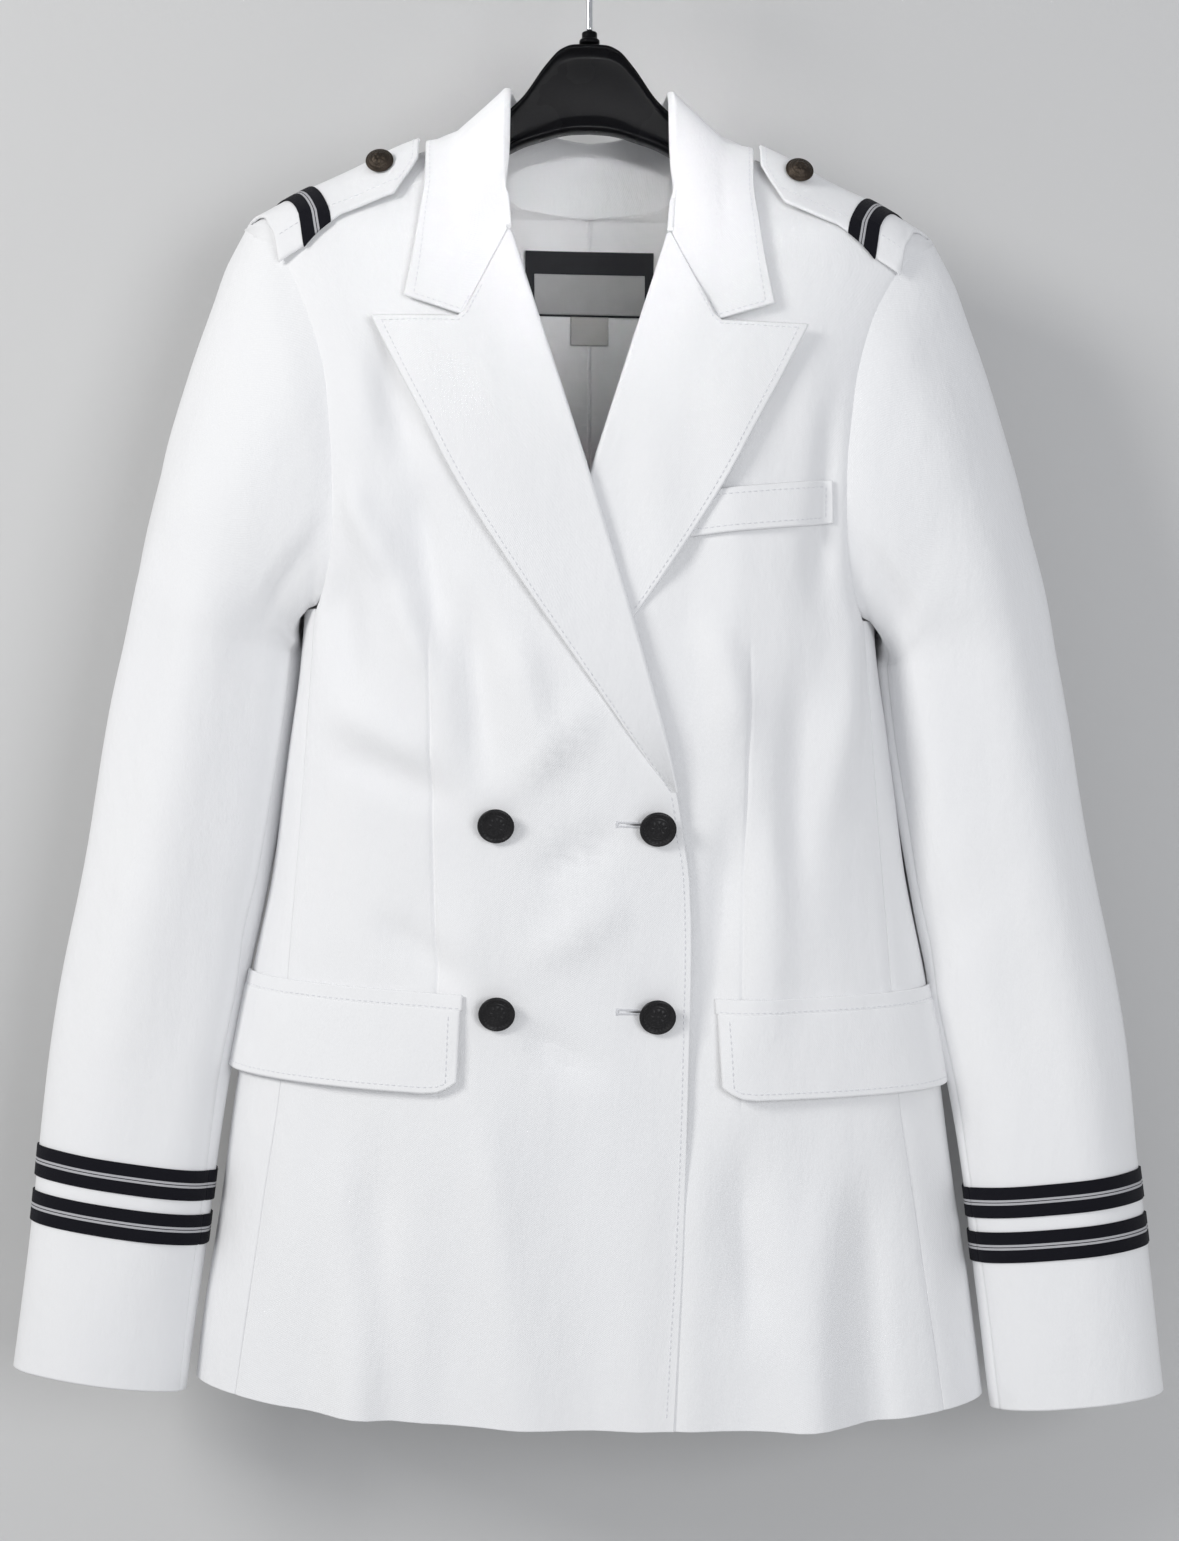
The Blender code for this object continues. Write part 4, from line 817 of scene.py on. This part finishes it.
# The fall: a patch between the roll line, the outer edge and the gorge with its notch.
r = 1 - np.append(spaced(52, 3.4)[:-5], 0.96)[None, :]
end = bent(r, corner, ROLL_TOP, GORGE, COLLAR_POINT)
end = on_body(front_angle(end[..., 0], end[..., 1]), end[..., 1], 2.5 + 2.5 * ease((end[..., 0] - ROLL_TOP[0]) / 50))
side_lines = (1 - r)[..., None] * smooth_path(roll_points, q) + r[..., None] * smooth_path(edge_points, q)
first = on_body(front_angle(*np.array(ROLL_TOP)[:, None]), np.array(ROLL_TOP[1:]), np.array([2.5]))
last = on_body(front_angle(*np.array(COLLAR_POINT)[:, None]), np.array(COLLAR_POINT[1:]), np.array([5.0]))
straight = (1 - r)[..., None] * first + r[..., None] * last
fall = side_lines + (end - straight) * ((1 - q) ** 3)[..., None]
fall = clear_of_body(fall, WALL + 1.0)
away = unit(fall * (1, 1, 0))
puff = 3.0 * 4 * r * (1 - r) * ease(q * 4)
fall = fall + away * puff[..., None]
# Over the top and down the stand, by a smooth curve through five lines.
top_line = smooth_path(roll_points, q)[:, 0]
share = np.append(0, np.cumsum(np.linalg.norm(np.diff(roll_points, axis=0), axis=1)))
order = np.interp(q[:, 0], share / share[-1], np.arange(len(share)))
foot = np.stack([curve(order, np.arange(len(neck_points)), neck_points[:, k]) for k in range(3)], axis=-1)
centre = -unit((top_line - (0, 6, 0)) * (1, 1, 0))
tall = np.linalg.norm(top_line - foot, axis=1, keepdims=True)
grown = ease(tall / 16)
lines = np.stack([
    fall[:, -2], fall[:, -1], top_line + centre * (0.5 + 1.2 * grown) + (0, 0, 1.5) * grown,
    top_line + centre * (4.5 * grown + 0.6) - (0, 0, 0.8),
    0.55 * top_line + 0.45 * foot + centre * 2.6 * grown, foot - unit(top_line - foot) * 1.5,
])
over = np.einsum("tk,kqc->qtc", spline_shares(6, np.linspace(0.2, 1, 26)[1:]), lines)
half = np.concatenate([fall, over], axis=1)
outer = np.concatenate([half * (-1, 1, 1), half[-2::-1]])
across, along = np.gradient(outer, axis=1), np.gradient(outer, axis=0)
outward = unit(np.cross(across, along))
outward = outward * np.sign((outward[:, :8] * (outer[:, :8] - (0, 0, -260))).sum())
inner = outer - 1.8 * outward
cloth("collar_cloth", outer, inner, [white_twill.material], ["collar_fall", "collar_stand"], edge=0.8)
line = slice(3, -3)
border = [(outer[line, 3], outward[line, 3]), (outer[3, 3:11], outward[3, 3:11]), (outer[-4, 3:11], outward[-4, 3:11])]
stitches("collar_stitches", border, white_thread.material)

# ---------------------------------------------------------------------------------------------------------------
# Pockets. A flap with a rounded front corner hangs from a narrow welt on each hip, and a welt crosses the wearer's
# left breast. All are double twill, bagged out and stitched round.
FLAP_TOP = (-595.5, -588.0)


def over_pocket(side, share, drop, lift):
    """A point over the pocket: share runs along it from the front end round to the side, drop runs down from it."""
    start = front_angle(np.array(68.0), np.array(-600.0))
    angle = start + (np.radians(84) - start) * share
    z = FLAP_TOP[0] + (FLAP_TOP[1] - FLAP_TOP[0]) * share - drop
    u = body_point(angle, z)[..., 0]
    return on_body(angle, z, lift + under_drop(side, u, z) + cloth_give(side, u, z)) * (side, 1, 1)


for side, word in SIDES:
    s, v = np.meshgrid(spaced(115, 4.0), spaced(44, 3.5))
    corner = 7.0 * (1 - np.clip(s / 0.07, 0, 1)) ** 2
    sway = 0.8 * np.sin(s * 9 + side) * v**2
    walls = [over_pocket(side, s, 7.7 + v * (44.3 - corner), 2.6 + 2.6 * v**0.8 + sway - depth) for depth in (0, 1.8)]
    cloth(f"pocket_flap_cloth_{word}", *walls, [white_twill.material], [f"pocket_flap_{word}"], edge=0.8)
    outer, outward = walls[0], walls[0] - walls[1]
    flap_rows = [(outer[3:-3, 3], outward[3:-3, 3]), (outer[-4, 3:], outward[-4, 3:])]
    s, v = np.meshgrid(-0.004 + 1.004 * spaced(115, 4.0), spaced(7.4, 2.0, (0, 0.4, 1.0)))
    walls = [over_pocket(side, s, 7.4 * v, 2.0 + 0.4 * v - depth) for depth in (0, 1.6)]
    cloth(f"pocket_welt_cloth_{word}", *walls, [white_twill.material], [f"pocket_welt_{word}"], edge=0.5)
    outer, outward = walls[0], walls[0] - walls[1]
    flap_rows.append((outer[-3, 1:], outward[-3, 1:]))
    stitches(f"pocket_stitches_{word}", flap_rows, white_thread.material)

s, v = np.meshgrid(spaced(83, 4.0), spaced(22, 3.0))
u, z = 47 + 82.5 * s, (-329 + 9.7 * s) * (1 - v) + (-351.6 + 10.2 * s) * v
walls = [on_front(1, u, z, 3.0 + 0.6 * v * (1 - v) - depth) for depth in (0, 1.7)]
cloth("breast_welt_cloth", *walls, [white_twill.material], ["breast_welt"], edge=0.7)
outer, outward = walls[0], walls[0] - walls[1]
line = slice(3, -3)
breast_rows = [(outer[place], outward[place]) for place in ((3, line), (-4, line), (line, -4))]
stitches("breast_welt_stitches", breast_rows, white_thread.material)

# ---------------------------------------------------------------------------------------------------------------
# Shoulder straps. A stitched band of doubled twill on each shoulder, caught in the sleeve seam and held at its blunt
# free end by a button. A short length of the cuff braid crosses it near the sleeve.
STRAP_LOW_Y, STRAP_HIGH_Y, STRAP_NECK_X, STRAP_END_X = -33.2, 4.5, 92.0, 187.0


def on_strap(side, x, y, lift):
    """A point of the strap: close to the shoulder at the sleeve, where it runs on straight over the shoulder's turn,
    and rising to its free end at the neck."""
    spot = on_shoulder(x, y)
    straight = on_shoulder(np.minimum(x, 152.0), y)[..., 2] - 0.54 * np.maximum(x - 152.0, 0)
    spot[..., 2] += np.maximum(straight - spot[..., 2], 0)
    rise = 4.4 - 3.0 * ease((x - 150) / 36) + 3.5 * ease((150 - x) / 50) ** 2
    return (spot + np.asarray(rise + lift)[..., None] * np.array([0.16, -0.34, 0.92])) * (side, 1, 1)


def strap_end(y):
    """How far out the strap is cut off: it follows the sleeve seam, which runs in towards the front in a line."""
    return STRAP_END_X + 0.6 * np.minimum(y, 0)


black_braid = Finish("black_ribbed_braid", Sheen_Weight=0.03, Sheen_Roughness=0.35, Specular_IOR_Level=0.12)
weave = black_braid.node("ShaderNodeUVMap", {"uv_map": "weave"})
across = black_braid.node("ShaderNodeSeparateXYZ", {}, {"Vector": weave}, 1) * 1000
ribs = black_braid.node("ShaderNodeTexWave", {"bands_direction": "X"}, {"Vector": weave, "Scale": 560}, 1)
knots = black_braid.node("ShaderNodeTexWave", {"bands_direction": "Y"}, {"Vector": weave, "Scale": 760}, 1)
off_middle = across.maths("ABSOLUTE", across - 8.0)
silver = (off_middle < 1.45) * (off_middle > 0.22)
fleck = black_braid.noise(weave, 1400, 2)
black = black_braid.mix(fleck, (0.003, 0.003, 0.006, 1), (0.009, 0.009, 0.014, 1))
grey = black_braid.mix(ribs, (0.34, 0.34, 0.36, 1), (0.66, 0.66, 0.68, 1))
black_braid.paint("Base Color", black_braid.mix(silver, black, grey))
black_braid.paint("Roughness", 0.62 - 0.25 * silver)
black_braid.bump(0.6 * ribs + 0.3 * knots + 0.8 * silver, 0.00022, 0.9)

for side, word in SIDES:
    v, s = np.meshgrid(spaced(33, 3.0), spaced(94, 4.0))
    y = STRAP_LOW_Y + (STRAP_HIGH_Y - STRAP_LOW_Y) * v
    blunt = STRAP_NECK_X + 12 * np.clip((np.abs(v - 0.5) - 0.28) / 0.22, 0, 1)
    x = blunt + (strap_end(y) - 0.2 - blunt) * s
    crown = 0.7 * np.sin(np.pi * v) + 0.4 * ripple(x * 1.5, y * 2 + 50 * side)
    walls = [on_strap(side, x, y, crown - depth) for depth in (0, 2.0)]
    cloth(f"shoulder_strap_cloth_{word}", *walls, [white_twill.material], [f"shoulder_strap_{word}"], edge=0.7)
    outer, outward = walls[0], walls[0] - walls[1]
    rows = [(outer[3:, 3], outward[3:, 3]), (outer[3:, -4], outward[3:, -4]), (outer[3, 3:-3], outward[3, 3:-3])]
    stitches(f"shoulder_strap_stitches_{word}", rows, white_thread.material)
    # The braid wraps over both edges of the strap.
    across = STRAP_LOW_Y - 0.6 + (STRAP_HIGH_Y - STRAP_LOW_Y + 1.2) * spaced(34, 2.5)
    y, s = np.meshgrid(across, spaced(14.5, 1.0, (0, 0.4, 0.9)))
    v = (y - STRAP_LOW_Y) / (STRAP_HIGH_Y - STRAP_LOW_Y)
    x = strap_end(y) - 28.5 + 14.5 * s
    crown = 0.7 * np.sin(np.pi * np.clip(v, 0, 1)) - 0.5 * (np.abs(v - 0.5) > 0.5)
    walls = [on_strap(side, x, y, crown + lift) for lift in (1.1, 0.2)]
    cloth(f"strap_braid_{word}", *walls, [black_braid.material], [f"shoulder_strap_braid_{word}"], "braid", 0.3)

# ---------------------------------------------------------------------------------------------------------------
# Cuff braid. Two rings of ribbed black braid with a silver double line down the middle are sewn round each sleeve
# above the cuff, and meet in the seam against the body.
for side, word in SIDES:
    for number, start in enumerate((0.702, 0.762)):
        t = start + 16.0 / SLEEVE_LENGTH * spaced(16, 1.0, (0, 0.4, 0.9))
        column, t = np.meshgrid(FRONT_SEAM + 0.03 + 21.94 * np.linspace(0, 1, 120), t)
        pull = 0.25 * np.sin(column * 5 + number) * np.sin(column * 1.7)
        walls = [on_sleeve(side, column, t, lift + 0.2 * pull) for lift in (1.15, 0.25)]
        name, node = f"cuff_braid_ribbon_{word}_{number + 1}", f"cuff_braid_{word}_{number + 1}"
        cloth(name, *walls, [black_braid.material], [node], "braid", 0.3)

# ---------------------------------------------------------------------------------------------------------------
# Buttons. Two rows of near-black moulded buttons close the front, and small domed ones of dark brass sit on the
# straps and cuffs. Each stands on a shank, tips a little under its own weight, and has a plain rosette in relief.
FRONT_PROFILE = (  # radius, height
    (0.05, 4.9), (3.0, 4.8), (5.6, 4.5), (7.3, 4.4), (7.9, 4.9), (8.6, 5.4), (9.3, 5.2), (9.7, 4.6),
    (9.5, 3.7), (8.3, 2.7), (5.0, 2.1), (2.9, 1.7), (2.5, 0.9), (2.5, 0.0), (0.05, 0.0),
)
DOME_PROFILE = (  # radius, height
    (0.05, 6.0), (1.6, 5.9), (3.2, 5.45), (4.8, 4.7), (6.1, 3.75), (6.7, 3.2), (7.3, 3.1), (7.6, 2.6),
    (7.3, 2.0), (6.4, 1.6), (3.0, 1.3), (2.3, 0.9), (2.2, 0.0), (0.05, 0.0),
)


def rosette(radius, turn, petals, size):
    """Height of the relief: a boss in the middle, petals round it as a wave of the angle, a plain ring, and a rope
    border whose strands slant with the radius."""
    boss = 0.45 * np.exp(-((radius / (0.12 * size)) ** 2))
    bloom = 0.5 * np.abs(np.cos(petals / 2 * turn)) ** 0.6 * np.exp(-(((radius - 0.36 * size) / (0.13 * size)) ** 2))
    ring = 0.3 * np.exp(-(((radius - 0.6 * size) / (0.035 * size)) ** 2))
    strands = 0.22 * (1 + np.sin(26 * turn + 9 * radius / size))
    strands = strands * np.exp(-(((radius - 0.75 * size) / (0.06 * size)) ** 2))
    return boss + bloom + ring + strands


AROUND, ALONG = 96, 90


def button(node, kind, seat, above, tip):
    """A turned button with its relief on its face: its profile swept round an axis that stands at seat, points to
    above and is leant over by tip."""
    slot, profile, petals, size, finish = kind
    profile = np.array(profile)
    line = smooth_path(np.column_stack([profile, 0 * profile[:, 0]]), np.linspace(0, 1, ALONG))
    radius, height = line[:, :1], line[:, 1:2]
    turn = np.linspace(0, 2 * np.pi, AROUND, endpoint=False)[None, :]
    on_face = (np.arange(ALONG)[:, None] < np.argmax(radius)) & (radius < 0.86 * size)
    height = height + np.where(on_face, rosette(radius, turn, petals, size), 0)
    ahead = unit(unit(above - seat) + np.asarray(tip))
    right = unit(np.cross((0, 0, 1.0), ahead))
    points = radius[..., None] * (np.cos(turn)[..., None] * right + np.sin(turn)[..., None] * np.cross(ahead, right))
    points = hung(seat + points + height[..., None] * ahead).reshape(-1, 3)
    ends = range(AROUND - 1, -1, -1), range((ALONG - 1) * AROUND, ALONG * AROUND)
    made = put_together(f"{node}_turned", points, grid_faces(ALONG, AROUND, True), [finish], ends)
    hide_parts(node)
    return made


black_button = Finish("near_black_button", Specular_IOR_Level=0.25)
spot = black_button.node("ShaderNodeTexCoord", output="Object")
grain, wear = black_button.noise(spot, 620, 3), black_button.noise(spot, 130, 4, 0.7)
black_button.paint("Base Color", black_button.mix(wear, (0.005, 0.005, 0.006, 1), (0.022, 0.021, 0.022, 1)))
black_button.paint("Roughness", 0.24 + 0.2 * grain)
black_button.bump(grain, 0.00008, 0.6)

dark_brass = Finish("dark_antique_brass", Metallic=0.85)
spot = dark_brass.node("ShaderNodeTexCoord", output="Object")
grain, wear = dark_brass.noise(spot, 700, 3), dark_brass.noise(spot, 190, 4, 0.7)
dark_brass.paint("Base Color", dark_brass.mix(wear, (0.012, 0.0095, 0.008, 1), (0.095, 0.074, 0.056, 1)))
dark_brass.paint("Roughness", 0.34 + 0.25 * grain)
dark_brass.bump(grain, 0.0001, 0.7)

front_kind = "black_button", FRONT_PROFILE, 8, 9.7, black_button.material
dome_kind = "brass_button", DOME_PROFILE, 6, 7.6, dark_brass.material
for row, z in enumerate((-504.0, -603.0)):
    for x, word, tip in ((-49.0, "right", (0.1, 0, -0.34)), (35.5, "left", (0.04, 0, -0.3))):
        seat, above = (on_front(-1, np.array([-x]), np.array([z]), lift)[0] for lift in (0.73, 5.0))
        button(f"front_button_{word}_{row + 1}", front_kind, seat, above, tip)
for side, word in SIDES:
    for number, t in enumerate((0.828, 0.885)):
        seat, above = (on_sleeve(side, np.array([19.6]), np.array([t]), lift)[0] for lift in (0.3, 5.0))
        button(f"cuff_button_{word}_{number + 1}", dome_kind, seat, above, (0, 0, -0.08))
    seat, above = (on_strap(side, np.array([112.0]), np.array([-21.5]), lift)[0] for lift in (1.2, 5.0))
    button(f"shoulder_strap_button_{word}", dome_kind, seat, above, (0.05, -1.6, 0))

# ---------------------------------------------------------------------------------------------------------------
# Buttonholes. Two keyhole buttonholes in the top front, bound in close white stitches, with a bar across the inner
# end. Their slits are thin sheets in painted shade, a dark line for the shadow in each cut, that runs in under the
# button.
# The slits' finish is painted shade: a near-black sheet stands for the shadow inside each cut, its darkness mottled a
# little by noise.
slit_shade = Finish("buttonhole_slit_shade", Roughness=0.95)
spot = slit_shade.node("ShaderNodeTexCoord", output="Object")
slit_shade_mottle = slit_shade.noise(spot, 800)
slit_shade.paint("Base Color", slit_shade.mix(slit_shade_mottle, (0.05, 0.05, 0.055, 1), (0.12, 0.12, 0.12, 1)))
for number, z in enumerate((-503.6, -602.2)):
    bar = np.array([[14.0, -2.1], [14.0, 2.1], [14.7, -2.1], [14.7, 2.1]]).reshape(2, 2, 2)
    x = np.repeat(np.arange(15.2, 40, 0.62), 2)
    flip = np.resize((-1, 1), len(x))
    binding = np.stack([np.stack([x, flip * 0.35], axis=-1), np.stack([x + 0.12, flip * 1.75], axis=-1)], axis=1)
    rows = []
    for ends in np.concatenate([bar, binding]):
        place = ends[0] + (ends[1] - ends[0]) * np.linspace(0, 1, 5)[:, None]
        line, above = (on_front(-1, -place[:, 0], z + place[:, 1], lift) for lift in (0.1, 1.0))
        rows.append((line, above - line))
    stitches(f"buttonhole_binding_{number + 1}", rows[2:], white_thread.material, pitch=1.35, length=1.5, thick=0.3)
    stitches(f"buttonhole_bar_{number + 1}", rows[:2], white_thread.material, pitch=4.0, length=4.2, thick=0.4)
    x, v = np.meshgrid(np.linspace(19, 40, 22), np.linspace(-1, 1, 3))
    width = 0.38 * ease((x - 19) / 6)
    u, height = -x, z + v * (width + 0.03)
    points = np.stack([on_front(-1, u, height, lift - 0.1 * v * v) for lift in (0.16, -0.3)])
    index = np.arange(66).reshape(3, 22)
    border = np.concatenate([index[0], index[1:, -1], index[-1, -2::-1], index[-2:0:-1, 0]])
    turned = np.roll(border, -1)
    sheet = grid_faces(3, 22)
    strip = np.stack([turned, border, border + 66, turned + 66], axis=-1)
    slit = put_together(f"buttonhole_slit_shade_{number + 1}", hung(points).reshape(-1, 3),
                        np.concatenate([sheet, sheet[:, [0, 3, 2, 1]] + 66, strip]), [slit_shade.material])

# ---------------------------------------------------------------------------------------------------------------
# Labels. A black woven label, a grey satin one over its lower part and a pale size tab are sewn to the lining below
# the collar. All three are bare.
def woven(name, dark, light, roughness, scale, sheen):
    """A label's finish: fine ribs both ways between a darker and a lighter thread."""
    made = Finish(name, Roughness=roughness, Sheen_Weight=sheen, Specular_IOR_Level=0.4)
    weave = made.node("ShaderNodeUVMap", {"uv_map": "weave"})
    ribbed = {"Vector": weave, "Scale": scale}
    warp, weft = (made.node("ShaderNodeTexWave", {"bands_direction": way}, ribbed, 1) for way in "XY")
    cloud = made.noise(weave, 90, 3)
    made.paint("Base Color", made.mix(0.5 * warp * weft + 0.5 * cloud, (*dark, 1), (*light, 1)))
    made.bump(warp + weft, 0.00012, 0.7)
    return made.material


label_finishes = (
    woven("black_woven_label", (0.006, 0.006, 0.008), (0.03, 0.03, 0.034), 0.6, 620, 0.3),
    woven("grey_satin_label", (0.42, 0.42, 0.42), (0.6, 0.6, 0.6), 0.32, 800, 0.15),
    woven("pale_size_tab", (0.5, 0.49, 0.48), (0.7, 0.69, 0.68), 0.6, 700, 0.1),
)
for name, finish, slot, x_low, x_high, z_low, z_high, depth in (
    ("label_black", label_finishes[0], "black_label", -36, 36, -219, -183, 2.6),
    ("label_satin", label_finishes[1], "satin_label", -31, 31, -218, -196, 3.8),
    ("label_size", label_finishes[2], "size_label", -10.5, 10.5, -235, -219.4, 2.8),
):
    wide, high = x_high - x_low, z_high - z_low
    x, z = np.meshgrid(x_low + wide * spaced(wide, 3.0), z_high - high * spaced(high, 2.5))
    curl = 0.7 * ((x - (x_low + x_high) / 2) / (x_high - x_low) * 2) ** 4 + 0.25 * ripple(x * 3, z * 3)
    walls = [on_body(back_angle(x, z), z, -depth - curl - lift) for lift in (0.7, 0.0)]
    cloth(f"{name}_cloth", *walls, [finish], [name], slot, 0.25)

# ---------------------------------------------------------------------------------------------------------------
# Backdrop and light. A plain pale wall close behind the jacket runs down into a pale floor.
pale_wall = Finish("pale_wall", Roughness=0.9, Specular_IOR_Level=0.2)
spot = pale_wall.node("ShaderNodeTexCoord", output="Object")
cloudy, grit = pale_wall.noise(spot, 1.6, 3), pale_wall.noise(spot, 160, 3)
pale_wall.paint("Base Color", pale_wall.mix(cloudy, (0.6, 0.6, 0.6, 1), (0.65, 0.65, 0.645, 1)))
pale_wall.paint("Roughness", 0.85 + 0.1 * cloudy)
pale_wall.bump(grit, 0.0004, 0.3)
turn = np.linspace(0, np.pi / 2, 13)
sweep = np.stack([0.085 - 0.3 + 0.3 * np.cos(turn), -1.2 - 0.3 * np.sin(turn)], axis=-1)
sweep = np.concatenate([[(0.085, 1.2)], sweep, [(-3.0, -1.5)]])
x, k = np.meshgrid(np.linspace(-2.6, 2.6, 9), np.arange(len(sweep)))
mesh = bpy.data.meshes.new("wall_and_floor")
points = np.stack([x, sweep[k, 0], sweep[k, 1]], axis=-1).reshape(-1, 3)
mesh.from_pydata(points.tolist(), [], grid_faces(len(sweep), 9)[:, ::-1].tolist())
mesh.shade_smooth()
mesh.materials.append(pale_wall.material)
wall = bpy.data.objects.new("wall_and_floor", mesh)
bpy.context.scene.collection.objects.link(wall)


def soft_light(name, place, towards, size, power, colour, spread=np.pi):
    """A square lamp at place, turned to face towards; spread narrows its beam."""
    lamp = bpy.data.lights.new(name, "AREA")
    lamp.size, lamp.energy, lamp.color, lamp.spread = size, power, colour, spread
    made = bpy.data.objects.new(name, lamp)
    made.location = place
    away = unit(np.subtract(place, towards))
    made.rotation_euler = (np.arccos(away[2]), 0, np.arctan2(away[1], away[0]) + np.pi / 2)
    bpy.context.scene.collection.objects.link(made)


soft_light("window", (-1.7, -1.35, 0.5), (0, 0, -0.45), 0.7, 26, (1.0, 0.99, 0.97))
soft_light("front", (1.0, -2.1, -0.35), (0, 0, -0.42), 1.0, 16.5, (0.97, 0.98, 1.0))
soft_light("collar", (0, -1.3, 0.02), (0, 0, -0.16), 0.12, 0.03, (1.0, 1.0, 1.0), 0.2)
world = bpy.data.worlds.new("room")
world.use_nodes = True
world.node_tree.nodes["Background"].inputs["Color"].default_value = (0.93, 0.95, 1, 1)
world.node_tree.nodes["Background"].inputs["Strength"].default_value = 0.4
bpy.context.scene.world = world
bpy.context.scene.view_settings.view_transform = "Standard"
